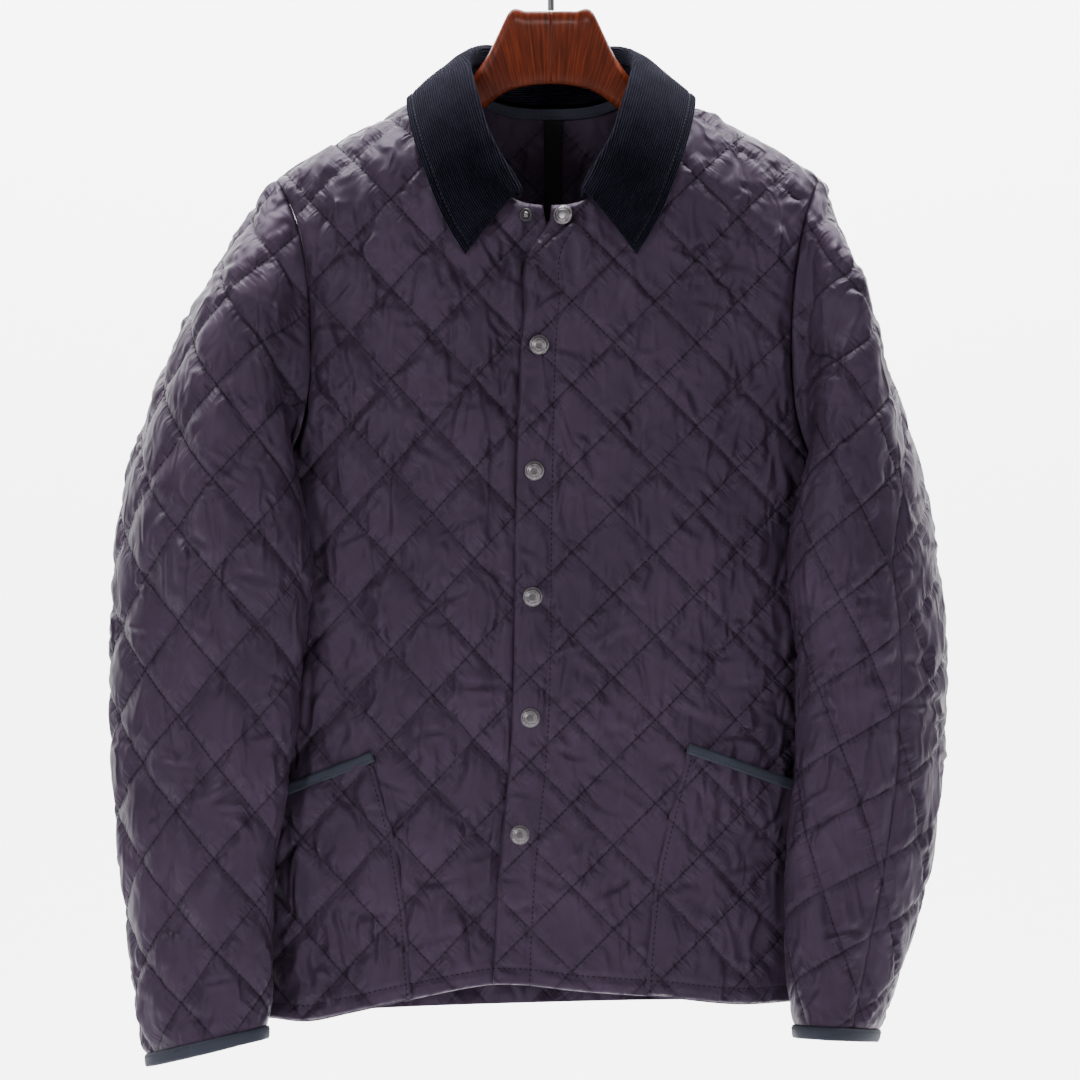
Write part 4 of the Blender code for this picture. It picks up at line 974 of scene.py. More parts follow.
def sleeve_surface(side, panels):
    """Rings of the sleeve's outer face from the armhole to the cuff. Column 0 is at the shoulder."""
    front = panels["left" if side > 0 else "right"]["points"]
    back = panels["back"]["points"][:, -1 if side > 0 else 0]
    rows = panels["rows"]
    high = np.nonzero(rows >= SIDE_SHARE - 1e-9)[0]
    up = (rows[high] - SIDE_SHARE) / (1 - SIDE_SHARE)
    loop = np.concatenate([front[high, -1][::-1], back[high][1:-1]])
    angles = np.concatenate([PIT_ANGLE * (1 - up[::-1]), PIT_ANGLE + (2 * math.pi - PIT_ANGLE) * up[1:-1]])
    near_pit = np.exp(-((loop[:, 2] + PIT_DROP) / 0.03) ** 2)
    loop = loop + GAP * 1.6 * np.stack([side + 0 * near_pit, 0 * near_pit, near_pit], axis=1)
    table = np.array(SLEEVE_LEFT if side > 0 else SLEEVE_RIGHT)
    places = np.linspace(0, len(table) - 1, int(0.355 / FINE))
    extra = len(table) - 1 - np.array(EDGE_STEPS[::-1]) / 0.0345
    places = np.unique(np.concatenate([places, extra]))
    levels = smooth(np.arange(len(table)), table, places)
    tube = [sleeve_ring(side, row, SLEEVE_TILT[side] * (k / (len(table) - 1)) ** 2, angles)
            for k, row in zip(places, levels)]
    first = clear_of_body(sleeve_ring(side, table[0], 0.0, angles))
    second = clear_of_body(sleeve_ring(side, table[1], SLEEVE_TILT[side] / 49, angles))
    chord = np.linalg.norm(first - loop, axis=1, keepdims=True)
    out, down = CAP_OUT[side]
    top = np.array([side * out, 0, -down])
    share = np.clip(np.cos(angles), 0, 1)[:, None]
    forward = 0.45 * np.clip((loop[:, 1] - SEAM_Y) / 0.05, -1, 1)
    beyond = np.stack([side * 0.85 + 0 * angles, forward, -0.25 + 0 * angles], axis=1)
    leave = unit(share * top + (1 - share) * beyond)
    arrive = unit(second - first)
    rings = []
    for t in np.linspace(0, 1, int(0.30 / FINE) + 1)[:-1]:
        rise = (3 - 2 * t) * t * t
        rings.append((1 - rise) * loop + rise * first
                     + chord * t * (1 - t) * ((1 - t) * leave - t * arrive))
    caps = len(rings)
    grid = np.stack(rings + tube)
    grid[1:] = clear_of_body(grid[1:])
    steady = evened(grid, 30, closed=True)
    ring = np.arange(len(grid))
    blend = np.minimum(step_curve(ring / 14), step_curve((len(grid) - 1 - ring) / 12))
    grid = grid + (steady - grid) * blend[:, None, None]
    seam = np.concatenate([panels["left" if side > 0 else "right"]["outer"][high, -1][::-1],
                           panels["back"]["outer"][:, -1 if side > 0 else 0][high][1:-1]])
    return grid, angles, caps, seam + GAP * np.array([side, 0, 0])


def sleeve_flat(grid, normals, caps, angles):
    """Flat coordinates of the sleeve: round it from the middle of its front, and down it from the armhole.

    They are walked down the middle of the front and then both ways round to the seam under the arm."""
    count = grid.shape[1]
    centre = grid.mean(axis=1)
    axis = np.gradient(centre, axis=0)
    axis[:caps + 8] = axis[caps + 8]
    axis = unit(axis)[:, None]
    down = unit(axis - normals * np.sum(axis * normals, axis=-1, keepdims=True))
    after = np.roll(grid, -1, axis=1) - grid
    across = unit(np.cross(normals, down))
    across = across * np.sign(np.sum(across * after))
    front, cut = np.argmin(np.abs(angles - math.pi / 2)), np.argmin(np.abs(angles - PIT_ANGLE))
    order = (cut + 1 + np.arange(count)) % count
    place_of_front = int(np.nonzero(order == front)[0][0])
    flat = []
    for way in (across, down):
        level = np.sum(np.diff(grid[:, front], axis=0) * (way[1:, front] + way[:-1, front]) / 2, axis=-1)
        level = np.concatenate([[0.0], np.cumsum(level)])
        step = np.sum(after * (way + np.roll(way, -1, axis=1)) / 2, axis=-1)[:, order][:, :-1]
        walked = np.concatenate([np.zeros((len(grid), 1)), np.cumsum(step, axis=1)], axis=1)
        walked = walked - walked[:, place_of_front:place_of_front + 1] + (level - level[caps])[:, None]
        value = np.empty_like(walked)
        value[:, order] = walked
        flat.append(value)
    return flat


def ring_at(grid, places):
    count = grid.shape[1]
    low = np.floor(places).astype(int)
    part = (places - low)[..., None]
    rows = np.arange(grid.shape[0])[:, None]
    return grid[rows, low % count] * (1 - part) + grid[rows, (low + 1) % count] * part


def make_sleeve(side, panels):
    word = "left" if side > 0 else "right"
    grid, angles, caps, seam_ring = sleeve_surface(side, panels)
    rings, count = grid.shape[:2]
    normals = grid_normals(grid, closed=True)
    if np.sum(normals * (grid - grid.mean(axis=1, keepdims=True))) < 0:
        normals = -normals
    normals = unit(evened(normals, 12, closed=True))
    closed = np.concatenate([grid, grid[:, :1]], axis=1)
    round_it = lengths(closed, 1)[:, :-1]
    girth = lengths(closed, 1)[:, -1]
    u, v = sleeve_flat(grid, normals, caps, angles)
    cos, sin = math.cos(SLEEVE_TURN[side]), math.sin(SLEEVE_TURN[side])
    u, v = u * cos - v * sin, u * sin + v * cos
    along_it = lengths(grid, 0)
    from_cap, from_cuff = along_it, along_it[-1:] - along_it
    quilt = SLEEVE_QUILT[side]
    # The quilting's flat coordinates jump at the seam under the arm only
    pad = quilted(u, v, quilt, 71 if side > 0 else 83)
    x, drop = grid[..., 0], -grid[..., 2]
    before = step_curve((normals[..., 1] * -1 + 0.25) / 0.5)
    towards_body = step_curve((-side * normals[..., 0] - 0.15) / 0.5) * step_curve((drop - 0.38) / 0.06)
    calm = np.tanh(from_cap / 0.006) * np.tanh(from_cuff / 0.008) * (1 - 0.35 * towards_body)
    h = pad * calm + folds(x, drop, SLEEVE_FOLDS[side]) * before
    rear = ((((side * 0.27, 0.30), (side * 0.26, 0.42), (side * 0.25, 0.52)), 0.014, -0.0035),
            (((side * 0.30, 0.56), (side * 0.27, 0.57), (side * 0.24, 0.56)), 0.007, -0.0035),
            (((side * 0.30, 0.60), (side * 0.27, 0.615), (side * 0.24, 0.60)), 0.007, -0.0030),
            (((side * 0.27, 0.66), (side * 0.255, 0.74), (side * 0.25, 0.80)), 0.010, -0.0028))
    h += folds(x, drop, rear) * step_curve((normals[..., 1] - 0.1) / 0.4)
    h -= 0.0022 * np.exp(-from_cap / 0.0035)
    h -= 0.0010 * np.exp(-from_cuff / 0.003)
    # The long seams pull the cloth in
    index = np.arange(rings) / (caps + 1)
    coarse = np.full(rings, -3.0)
    if side > 0:
        coarse = -2.0 + 4.9 * step_curve(index)
    angle_of = np.concatenate([angles, [2 * math.pi]])
    coarse_angles = np.concatenate([np.linspace(0, PIT_ANGLE, 12),
                                    np.linspace(PIT_ANGLE, 2 * math.pi, 12)[1:]])
    to_fine = lambda c: np.interp(np.interp(np.mod(c, 22), np.arange(23), coarse_angles), angle_of,
                                  np.arange(count + 1))
    back_seam = to_fine(coarse)
    back_seam = np.where(back_seam > count * 0.6, back_seam - count, back_seam)
    under_seam = to_fine(np.full(rings, 11.0))
    at = lambda places: ring_at(round_it[..., None], places[:, None])[..., 0]
    for seam in (back_seam, under_seam):
        where = at(np.mod(seam, count))
        away = np.abs(np.mod(round_it - where + girth[:, None] / 2, girth[:, None]) - girth[:, None] / 2)
        h = h * np.tanh(away / 0.006) - 0.0018 * np.exp(-away / 0.0028)
    h -= rolled(from_cuff, 0.0012)
    outer = displaced(grid, normals, h)
    # The cap is sewn to the panels' edges, where they are tucked in
    outer = outer + (seam_ring - outer[0])[None] * np.exp(-(from_cap / 0.0045) ** 1.5)[..., None]
    inner = grid - normals * WALL
    pieces = (("top", back_seam, under_seam), ("under", under_seam, back_seam + count))
    fine_normals = facing(grid_normals(outer, closed=True), normals)
    made = []
    for part, first, last in pieces:
        columns = max(8, int(round(float(np.mean(last - first)))))
        share = np.linspace(0, 1, columns + 1)
        places = first[:, None] + (last - first)[:, None] * share
        take = lambda of: ring_at(of if of.ndim == 3 else of[..., None], places)
        pu, pv = take(u)[..., 0], take(v)[..., 0]
        for value in (pu, pv):
            value[:, 0] = 2 * value[:, 1] - value[:, 2]
            value[:, -1] = 2 * value[:, -2] - value[:, -3]
        front_face, rear_face = take(outer), take(inner)
        for edge, neighbour in ((0, 1), (-1, -2)):
            # The pieces meet on the inside, so no light shows through the seam
            front_face[:, edge] += unit(front_face[:, neighbour] - front_face[:, edge]) * GAP / 2
        thing = shell(f"sleeve_{word}_{part}_quilted", front_face, rear_face, NYLON,
                      np.stack(diamond_lines(pu, pv, quilt), -1))
        finished(thing, "nylon", f"sleeve_{word}_{part}")
        walked = lengths(front_face, 1)
        edge_away = np.minimum(walked, walked[:, -1:] - walked)
        keep = (edge_away > 0.004) & (take(from_cap)[..., 0] > 0.004) & (take(from_cuff)[..., 0] > 0.006)
        keep &= np.abs(np.gradient(pu, axis=1)) < 0.02
        groups = quilt_stitches(front_face, take(fine_normals), pu, pv, quilt, keep)
        sewn = stitch_object(f"sleeve_{word}_{part}_stitches", groups, THREAD)
        finished(sewn, "nylon")
    # Cuff binding: a ribbon folded over the edge
    run = unit(grid[-1] - grid[-4])
    lead = grid[-1]
    ring_normal = normals[-1]
    outer_band, inner_band = [], []
    for s in np.linspace(0, 1, 9):
        bulge = 0.0010 + 0.0009 * math.sqrt(max(0.0, math.sin(math.pi * s)))
        shift = lead + run * (-0.0010 + (RIBBON_WIDTH + CUFF_GAP + 0.0006) * s)
        wave = 0.0004 * Noise(90)(np.arange(count) / 9.0, np.full(count, s))
        outer_band.append(shift + ring_normal * (bulge + wave)[:, None])
        inner_band.append(shift - ring_normal * (WALL + bulge * 0.5))
    band = shell(f"cuff_ribbon_{word}", np.stack(outer_band), np.stack(inner_band), RIBBON, closed=True,
                 skip=2)
    finished(band, "ribbon", f"cuff_binding_{word}")
    path = np.stack(outer_band)[2]
    path = np.concatenate([path, path[:1]])
    ups = np.concatenate([ring_normal, ring_normal[:1]])
    sewn = stitch_object(f"cuff_stitches_{word}", [stitch_points(path, ups, pitch=0.0035, long=0.0024)],
                         THREAD_NAVY)
    finished(sewn, "ribbon")


# ---- collar ------------------------------------------------------

COLLAR_FOLD = ((0.0245, 0.2060, "front"), (0.0330, 0.1900, "front"), (0.0480, 0.1630, "front"),
               (0.0570, 0.1360, -0.052), (0.0625, 0.1010, 0.004), (0.043, 0.0960, 0.042),
               (0.0, 0.0955, 0.0550))
COLLAR_EDGE = ((0.0650, 0.2535, "front"), (0.0800, 0.2290, "front"), (0.0960, 0.1900, "front"),
               (0.1065, 0.1560, "front"), (0.1080, 0.1340, 0.002), (0.094, 0.1500, "back"),
               (0.050, 0.1620, "back"), (0.0, 0.1640, "back"))
NECK_MIDDLE = np.array([0.0, -0.006, -0.085])
COLLAR_STEPS = 15
CORD_CLOTH = 0.0024
COLLAR_STITCH = 0.0068
WALE = 0.0018


def collar_curve(rows, lift):
    points = []
    for x, drop, y in rows:
        if y == "front":
            y = body_y(x, drop) - lift
        elif y == "back":
            y = body_y(x, drop, back=True) + lift
        points.append((x, float(y), -drop))
    return along(points, COLLAR_STEPS)


def neck_seam_curve():
    points = []
    for x in (0.0235, 0.036, 0.047, 0.055, 0.0610, 0.0650, 0.0667):
        drop = float(neckline_at(x))
        points.append((x, float(body_y(x, drop)), -drop))
    for x in (0.0667, 0.060, 0.048, 0.032, 0.016, 0.0):
        drop = float(neckline_at(x, back=True))
        points.append((x, float(body_y(x, drop, back=True)), -drop))
    curve = along(points, COLLAR_STEPS)
    return curve + 0.0032 * unit(NECK_MIDDLE - curve)


def mirrored(curve):
    return np.concatenate([curve * np.array([-1, 1, 1]), curve[::-1][1:]])


def make_collar():
    seam = mirrored(neck_seam_curve())
    fold = mirrored(collar_curve(COLLAR_FOLD, 0.0120))
    edge = mirrored(collar_curve(COLLAR_EDGE, 0.0058))
    out = unit(fold * np.array([1, 1, 0]) + np.array([0, 0.005, 0]))
    down, back_down = unit(edge - fold), unit(seam - fold)
    away = unit(out - down * np.sum(out * down, axis=1, keepdims=True))
    rows = np.stack([seam, seam * 0.5 + fold * 0.5 - away * 0.0008, fold + back_down * 0.0042 - away * 0.0018,
                     fold - down * 0.0012, fold + down * 0.0046 + away * 0.0034,
                     fold * 0.67 + edge * 0.33 + away * 0.0056,
                     fold * 0.34 + edge * 0.66 + away * 0.0046, edge])
    # Finer along the collar, then finer across it
    steps = 2 * COLLAR_STEPS - 1
    keys = np.arange(steps)
    columns = np.linspace(0, steps - 1, 200)
    near_end = np.array([0.02, 0.05, 0.10])
    columns = np.unique(np.concatenate([columns, near_end, steps - 1 - near_end]))
    wide = smooth(keys, rows.transpose(1, 0, 2).reshape(steps, -1), columns).reshape(len(columns), 8, 3)
    wide = wide.transpose(1, 0, 2)
    middle = wide[:, len(columns) // 2]
    span = distances(middle)
    across = np.linspace(0, span[-1], int(span[-1] / (0.00045)))
    fine = smooth(span, wide.reshape(8, -1), across).reshape(len(across), len(columns), 3)
    normals = grid_normals(fine)
    test = out[len(out) // 2]
    if np.dot(normals[-20, len(columns) // 2], test) < 0:
        normals = -normals
    smooth_normals = unit(evened(normals, 6))
    walked = lengths(fine, 0)
    total = walked[-1:]
    from_edge = total - walked
    from_end = np.minimum(lengths(fine, 1), lengths(fine, 1)[:, -1:] - lengths(fine, 1))
    # Wales keep their pitch, measured from the leaf's edge
    wander = Noise(101)(columns[None, :] / 1.4, from_edge / 0.03) * 0.0003
    ridge = np.abs(np.sin(math.pi * (from_edge + wander) / WALE))
    pile = Noise(102)(columns[None, :] * 4.0, from_edge / 0.0011)
    h = 0.00085 * np.power(ridge, 0.7) + 0.00012 * pile
    h += 0.0008 * Noise(103)(columns[None, :] / 2.1, from_edge / 0.022)
    h -= 0.0009 * np.exp(-((from_edge - COLLAR_STITCH) / 0.0012) ** 2) * step_curve(from_end / 0.006)
    h -= 0.0009 * np.exp(-((from_end - COLLAR_STITCH) / 0.0014) ** 2) * step_curve(from_edge / 0.006) * (
        walked > total * 0.42)
    h -= rolled(np.minimum(from_edge, from_end), 0.0016)
    outer = fine + smooth_normals * (CORD_CLOTH / 2 + h)[..., None]
    inner = fine - smooth_normals * CORD_CLOTH / 2
    thing = shell("collar_corduroy", outer, inner, CORDUROY,
                  np.stack([(from_edge + wander) / WALE, 0 * from_edge], -1))
    finished(thing, "corduroy", "collar")
    line = crossing_row(outer[::-1], smooth_normals[::-1], (from_edge - COLLAR_STITCH)[::-1])
    sewn = stitch_object("collar_stitches", [stitch_points(*line, **RIBBON_STITCH)], THREAD_NAVY)
    finished(sewn, "corduroy")


# ---- pockets and tapes -------------------------------------------

def on_front(patch, off):
    x, drop = patch[..., 0], patch[..., 1]
    step = 0.0008
    y = body_y(x, drop)
    slope_x = (body_y(x + step, drop) - body_y(x - step, drop)) / (2 * step)
    slope_z = -(body_y(x, drop + step) - body_y(x, drop - step)) / (2 * step)
    normal = unit(np.stack([slope_x, -np.ones_like(y), slope_z], axis=-1))
    return place(x, drop, y) + normal * np.asarray(off)[..., None], normal


POCKET_LIFT = 0.0034
POCKET_HEM_STITCH, POCKET_SIDE_STITCH = 0.0112, 0.0045


def make_pocket(side):
    word = "left" if side > 0 else "right"
    cols, rows = int(0.105 / FINE), int(0.175 / FINE)
    share = np.unique(np.concatenate([np.linspace(0, 1, cols), [0.004, 0.010, 0.018]]).round(6))
    near_hem = 1 - np.array([0.0025, 0.006, 0.012])
    steps = np.unique(np.concatenate([np.linspace(0, 1, rows), near_hem]).round(6))
    mouth, inner = along_at(POCKET_MOUTH[side], share), along_at(POCKET_INNER[side], steps)
    ends = along(POCKET_MOUTH[side], 2)
    run = unit(ends[1] - ends[0])
    square = np.array([-run[1], run[0]]) * (1 if run[0] > 0 else -1)
    top = mouth + square * (RIBBON_WIDTH * 0.8)
    inner[0] = top[0]
    inner[-1, 1] = front_hem_at(inner[-1, 0]) - 0.0008
    outer_drops = top[-1, 1] + (front_hem_at(top[-1, 0]) - 0.0008 - top[-1, 1]) * steps
    outer = np.stack([top[-1, 0] + 0 * outer_drops, outer_drops], axis=1)
    hem_x = inner[-1, 0] + (outer[-1, 0] - inner[-1, 0]) * share
    hem = np.stack([hem_x, front_hem_at(hem_x) - 0.0008], axis=1)
    patch = patch_between(top, hem, inner, outer, steps, share)
    x, drop = patch[..., 0], patch[..., 1]
    flat, normal = on_front(patch, 0 * x)
    from_inner, from_mouth = lengths(flat, 1), lengths(flat, 0)
    from_hem = from_mouth[-1:] - from_mouth
    from_outer = from_inner[:, -1:] - from_inner
    u, w = lookup(FRONT_U, x, drop), lookup(FRONT_V, x, drop)
    width, height, u0, v0 = FRONT_QUILT[side > 0]
    quilt = (width, height, u0 + 0.004 * side, v0 + 0.006)
    calm = np.tanh(from_inner / 0.007) * np.tanh(from_hem / 0.007) * np.tanh(from_outer / 0.008) * np.tanh(
        from_mouth / 0.010)
    h = POCKET_LIFT + quilted(u, w, quilt, 131 if side > 0 else 149, 0.0030) * calm
    h -= 0.0022 * np.exp(-from_inner / 0.0020) + rolled(from_hem, 0.0022)
    h -= 0.0012 * np.exp(-((from_inner - POCKET_SIDE_STITCH) / 0.0016) ** 2)
    sew_hem(h, x, from_hem, POCKET_HEM_STITCH, 0.0014, 150 + side)
    front_face, _ = on_front(patch, h)
    rear_face, _ = on_front(patch, 0 * h + 0.0004)
    thing = shell(f"pocket_{word}_quilted", front_face[::-1], rear_face[::-1], NYLON,
                  np.stack(diamond_lines(u, w, quilt), -1)[::-1])
    finished(thing, "nylon", f"pocket_{word}")
    fine_normals = facing(grid_normals(front_face), normal)
    keep = (from_inner > 0.005) & (from_hem > 0.012) & (from_outer > 0.002) & (from_mouth > 0.002)
    groups = quilt_stitches(front_face, fine_normals, u, w, quilt, keep)
    groups.append(stitch_points(*crossing_column(front_face, fine_normals, from_inner - POCKET_SIDE_STITCH,
                                                 np.ones_like(keep))))
    groups.append(stitch_points(*crossing_row(front_face[::-1], fine_normals[::-1],
                                              (from_hem - POCKET_HEM_STITCH)[::-1])))
    sewn = stitch_object(f"pocket_{word}_stitches", groups, THREAD)
    finished(sewn, "nylon")
    # The mouth's binding
    places = np.linspace(0, 1, 60)
    top = along_at(POCKET_MOUTH[side], places)
    band = np.stack([top + square * RIBBON_WIDTH * t for t in np.linspace(0, 1, 9)])
    t = np.linspace(0, 1, 9)[:, None]
    crown = np.sqrt(np.clip(4 * t * (1 - t), 0, 1))
    lift = POCKET_LIFT + 0.0012 + 0.0010 * crown + 0.0004 * Noise(160 + side)(places[None, :] * 11, t * 2)
    face, up = on_front(band, lift)
    rear, _ = on_front(band, 0 * lift + 0.0008)
    ribbon = shell(f"pocket_ribbon_{word}", face[::-1], rear[::-1], RIBBON, skip=2)
    finished(ribbon, "ribbon", f"pocket_binding_{word}")
    sewn = stitch_object(f"pocket_ribbon_stitches_{word}",
                         [stitch_points(face[6], up[6], **RIBBON_STITCH)], THREAD_NAVY)
    finished(sewn, "ribbon")


def strip(name, look, slot, node_name, xs, drops, off, thick, wave=0.0):
    """A flat tape inside the back, off its inner face."""
    y = body_y(xs, drops, back=True) - WALL - off
    ripple = wave * Noise(171)(xs / 0.02, drops / 0.02)
    front = place(xs, drops, y - thick - ripple)
    rear = place(xs, drops, y)
    thing = shell(name, front, rear, look, skip=2)
    finished(thing, slot, node_name)
    return thing


def make_neck_tape():
    x = np.linspace(-0.052, 0.052, 73)
    top = neckline_at(x, back=True) + 0.0010
    t = np.linspace(0, 1, 9)[:, None]
    drops = top[None] + RIBBON_WIDTH * t
    xs = np.repeat(x[None], 9, axis=0)
    strip("neck_tape_weave", RIBBON, "ribbon", "neck_tape", xs[::-1], drops[::-1], 0.0022, 0.0011,
          0.0002)
    y = body_y(xs[6], drops[6], back=True) - WALL - 0.0022 - 0.0012
    path = place(xs[6], drops[6], y)
    sewn = stitch_object("neck_tape_stitches",
                         [stitch_points(path, np.tile([0, -1.0, 0.2], (73, 1)), **RIBBON_STITCH)],
                         THREAD_NAVY)
    finished(sewn, "ribbon")


def make_back_strip():
    drops = np.linspace(BACK_NECK_DROP + RIBBON_WIDTH + 0.0014, 0.226, 40)[:, None] + np.zeros((1, 9))
    xs = np.linspace(-0.0052, 0.0088, 9)[None, :] + np.zeros((40, 1))
    strip("back_strip_weave", TAPE_BLACK, "black_tape", "back_strip", xs[::-1], drops[::-1], 0.0016, 0.0011,
          0.0002)


# ---- snaps -------------------------------------------------------

CAP_RADIUS = 0.0075
SNAP_DROPS = (0.3224, 0.4177, 0.5131, 0.6047, 0.6933)
SNAP_FROM_EDGE = 0.014


def axes_about(normal):
    normal = unit(np.asarray(normal, float))
    side = unit(np.cross(normal, (0.0, 0.0, 1.0)))
    return normal, side, np.cross(normal, side)


def turned(name, look, profile, centre, normal, spin=56):
    """A solid turned about an axis from (radius, height) points."""
    normal, side, other = axes_about(normal)
    angle = 2 * math.pi * np.arange(spin) / spin
    points, centre = [], np.asarray(centre, float)
    for radius, height in profile:
        ring = radius * (np.cos(angle)[:, None] * side + np.sin(angle)[:, None] * other)
        points.append(centre + ring + normal * height)
    grid = np.stack(points)
    faces = list(quads(len(profile), spin, closed=True))
    faces.append(np.arange(spin)[::-1])
    faces.append(np.arange(spin) + (len(profile) - 1) * spin)
    return new_object(name, grid.reshape(-1, 3), faces, look)


def cap_profile():
    """A domed cap with a rolled rim and a shallow ring groove."""
    shape = ((0.90, 0.0), (0.985, 0.0003), (1.0, 0.0009), (0.985, 0.0015), (0.945, 0.0019), (0.915, 0.0019),
             (0.885, 0.00175), (0.85, 0.0019), (0.80, 0.0022), (0.70, 0.00255), (0.62, 0.00275),
             (0.585, 0.00272), (0.565, 0.0026), (0.545, 0.00272), (0.50, 0.0029), (0.35, 0.0031),
             (0.18, 0.0032), (0.05, 0.00322))
    return [(CAP_RADIUS * share, height) for share, height in shape]


def cap_dots(name, centre, normal):
    """A plain ring of raised dots round the cap."""
    normal, side, other = axes_about(normal)
    points, faces = [], []
    for k in range(14):
        angle = 2 * math.pi * k / 14
        way = math.cos(angle) * side + math.sin(angle) * other
        middle = centre + CAP_RADIUS * 0.73 * way + normal * 0.00245
        start = len(points)
        for m in range(8):
            turn = 2 * math.pi * m / 8
            points.append(middle + 0.00042 * (math.cos(turn) * side + math.sin(turn) * other))
        points.append(middle + normal * 0.00026)
        faces += [np.array([start + m, start + (m + 1) % 8, start + 8]) for m in range(8)]
    thing = new_object(name, np.array(points), faces, SNAP_DARK)
    return finished(thing, "snap_metal")


def make_snaps():
    for k, drop in enumerate(SNAP_DROPS):
        x = float(placket_edge_at(drop)) + SNAP_FROM_EDGE
        spot = np.array([[x, drop]])
        centre, normal = on_front(spot, np.array([0.0016]))
        thing = turned(f"snap_{k + 1}", SNAP, cap_profile(), centre[0], normal[0])
        finished(thing, "snap_metal", f"snap_cap_{k + 1}")
        cap_dots(f"snap_dots_{k + 1}", centre[0], normal[0])
    centre, _ = on_front(np.array([[0.0095, 0.2245]]), np.array([0.0046]))
    tilted = (-0.30, -0.93, 0.22)
    thing = turned("snap_neck", SNAP, cap_profile(), centre[0], tilted)
    finished(thing, "snap_metal", "snap_cap_neck")
    cap_dots("snap_neck_dots", centre[0], tilted)
    stud_x, stud_drop = -0.0190, 0.2240
    centre, normal = on_front(np.array([[stud_x, stud_drop]]), np.array([0.0018]))
    centre = centre[0]
    centre[1] += underlap_sink(stud_x - 0.0050, stud_drop) - 0.0004
    base = ((0.0046, 0.0), (0.0050, 0.0004), (0.0050, 0.0008), (0.0046, 0.0012), (0.0034, 0.0013),
            (0.0032, 0.0010), (0.0027, 0.0010), (0.0004, 0.0010))
    ball = ((0.0010, 0.0009), (0.0019, 0.0014), (0.0022, 0.0021), (0.0021, 0.0028), (0.0016, 0.0033),
            (0.0008, 0.0036), (0.0002, 0.0036))
    ring = turned("snap_stud_ring", SNAP_DARK, base, centre, normal[0])
    finished(ring, "snap_metal", "snap_stud_neck")
    finished(turned("snap_stud_ball", SNAP, ball, centre, normal[0]), "snap_metal")


# ---- hanger ------------------------------------------------------

ARM_LENGTH = 0.188
HANGER_TOP = 0.068
HANGER_ARM = ((0.0, HANGER_TOP, 0.1233, 0.0105), (0.018, HANGER_TOP, 0.1250, 0.0105),
              (0.032, 0.0690, 0.1290, 0.0105), (0.040, 0.0850, 0.1335, 0.0107),
              (0.0465, 0.0985, 0.1385, 0.0110), (0.0595, 0.1180, 0.1490, 0.0115),
              (0.067, 0.1275, 0.1540, 0.0108), (0.080, 0.1345, 0.1630, 0.0130),
              (0.120, 0.1535, 0.1850, 0.0165), (0.160, 0.1745, 0.2040, 0.0180),
              (ARM_LENGTH, 0.1915, 0.2140, 0.0140))


def make_hanger():
    for side, word in ((-1, "right"), (1, "left")):
        keys = [row[0] for row in HANGER_ARM]
        xs = np.concatenate([[0.0, 0.00024, 0.0012], np.linspace(0.003, 0.075, 60),
                             np.linspace(0.079, ARM_LENGTH, 34)])
        values = smooth(keys, [row[1:] for row in HANGER_ARM], xs)
        angles = 2 * math.pi * (np.arange(64) + 0.5) / 64
        rings = []
        for k, (x, (top, low, thick)) in enumerate(zip(xs, values)):
            middle, half = (top + low) / 2, (low - top) / 2
            ease = 1 - 0.012 * (k == 0)
            squareness = 0.42 + 0.45 * np.clip((x - 0.04) / 0.02, 0, 1)
            across = np.sign(np.cos(angles)) * np.abs(np.cos(angles)) ** squareness
            upright = np.sign(np.sin(angles)) * np.abs(np.sin(angles)) ** 0.72
            bend = -0.006 * (x / ARM_LENGTH) ** 2
            rings.append(place(side * x + 0 * angles, middle - half * upright * ease,
                               bend + thick * across * ease))
        grid = np.stack(rings)
        rows, columns = grid.shape[:2]
        faces = list(quads(rows, columns, closed=True, flip=side > 0))
        caps = [np.arange(columns), np.arange(columns)[::-1] + (rows - 1) * columns]
        faces += [c[::-1] for c in caps] if side < 0 else caps
        thing = new_object(f"hanger_{word}_varnished", grid.reshape(-1, 3), faces, WOOD)
        finished(thing, "hanger_wood", f"hanger_{word}")


# ---- build -------------------------------------------------------

panels = {"rows": panel_rows()}
panels["left"] = make_front(True)
panels["right"] = make_front(False)
panels["back"] = make_back()
for wearer_side in (-1, 1):
    make_sleeve(wearer_side, panels)
    make_pocket(wearer_side)
make_collar()
make_neck_tape()
make_back_strip()
make_snaps()
make_hanger()
hook = bpy.data.objects["hanger_hook"]
hook.data.materials.clear()
hook.data.materials.append(HOOK)
hook.data.shade_smooth()

# ---- stage -------------------------------------------------------


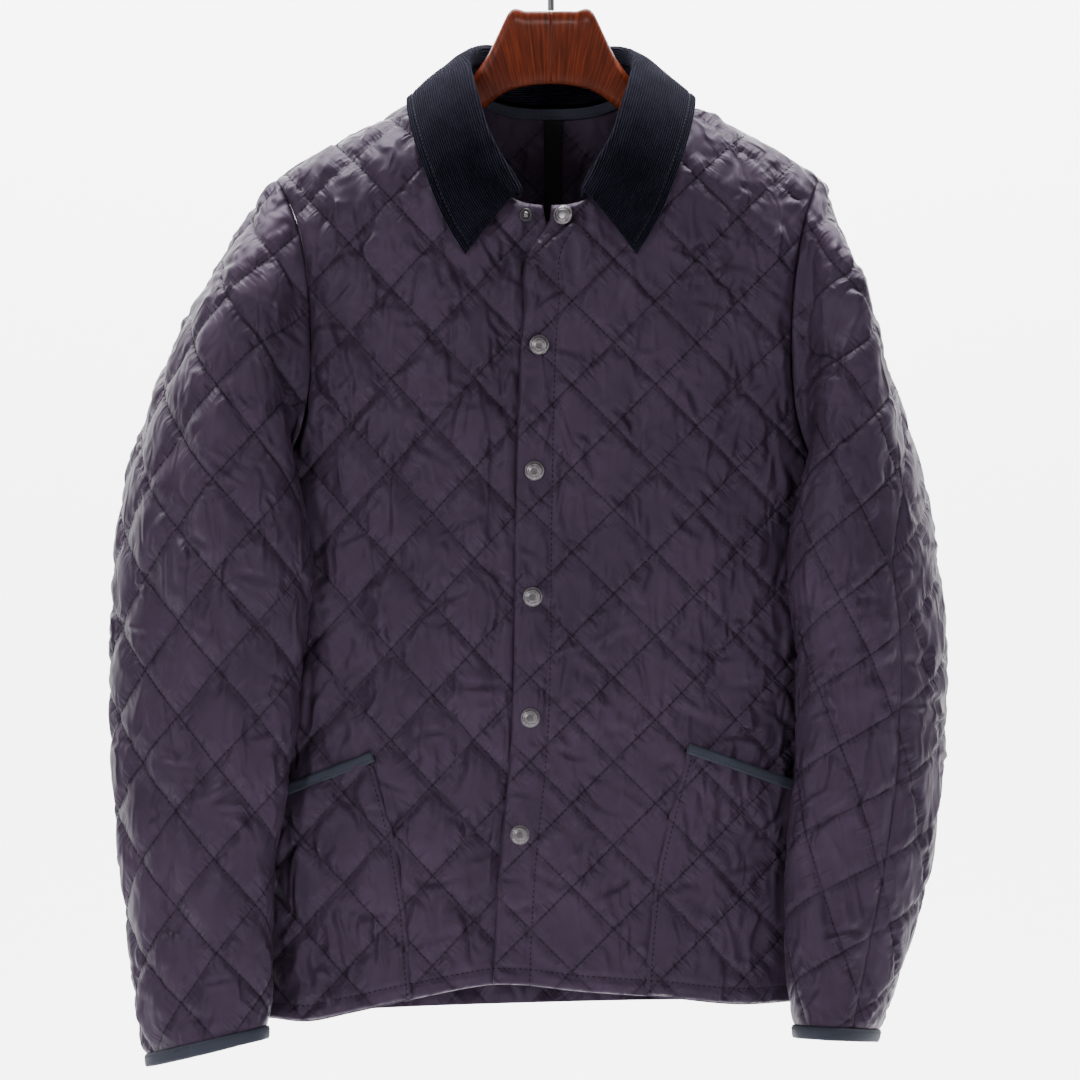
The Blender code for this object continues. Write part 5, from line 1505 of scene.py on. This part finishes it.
def make_stage():
    """A pale floor that sweeps up into a pale wall behind."""
    floor, back, radius = -1.35, 1.9, 0.8
    profile = [(-6.0, floor), (back - radius, floor)]
    for k in range(1, 13):
        turn = math.pi / 2 * k / 12
        profile.append((back - radius + radius * math.sin(turn), floor + radius * (1 - math.cos(turn))))
    profile.append((back, 5.0))
    points = [(x, y, z) for x in (-7.0, 7.0) for y, z in profile]
    n = len(profile)
    faces = np.array([[k, k + n, k + n + 1, k + 1] for k in range(n - 1)])
    look = Look("paper")
    look.shaded(Base_Color=(0.90, 0.90, 0.905, 1), Roughness=0.95)
    # The sweep is see-through from behind, so the garment's back can be viewed
    paper = look.tree.nodes["Principled BSDF"].outputs[0]
    seen = look.add("MixShader", 0, {0: look.add("NewGeometry", "Backfacing"), 1: paper,
                                     2: look.add("BsdfTransparent", 0)})
    look.feed(look.tree.nodes["Material Output"], {"Surface": seen})
    new_object("stage_sweep", np.array(points), faces, look.material)


def lamp(name, where, aim, size, power):
    """A rectangular lamp that faces its aim."""
    data = bpy.data.lights.new(name, "AREA")
    data.shape, data.size, data.size_y = "RECTANGLE", size[0], size[1]
    data.energy = power
    thing = bpy.data.objects.new(name, data)
    thing.location = where
    direction = Vector(np.asarray(aim, float) - np.asarray(where, float))
    thing.rotation_euler = direction.to_track_quat("-Z", "Y").to_euler()
    bpy.context.collection.objects.link(thing)


make_stage()
middle = (0, 0, -0.45)
lamp("key", (-1.7, -2.5, 0.4), middle, (0.4, 0.6), 70)
lamp("fill", (1.5, -2.8, -0.1), middle, (0.6, 1.0), 34)
lamp("neck", (0.1, -2.6, 0.9), (0, 0, -0.16), (0.3, 0.3), 14)
lamp("wall", (0.0, 0.5, 1.7), (0, 1.9, -0.5), (4.0, 0.8), 700)
world = bpy.data.worlds.new("studio")
world.use_nodes = True
sky = world.node_tree.nodes["Background"].inputs
sky["Color"].default_value = (1, 1, 1, 1)
sky["Strength"].default_value = 0.20
bpy.context.scene.world = world

camera_data = bpy.data.cameras.new("camera")
camera_data.lens, camera_data.sensor_width = 877, 36
camera = bpy.data.objects.new("camera", camera_data)
camera_data.clip_end = 60
camera.location = (-0.0083, -20.0, -0.470)
camera.rotation_euler = (math.pi / 2, 0, 0)
bpy.context.collection.objects.link(camera)
bpy.context.scene.camera = camera
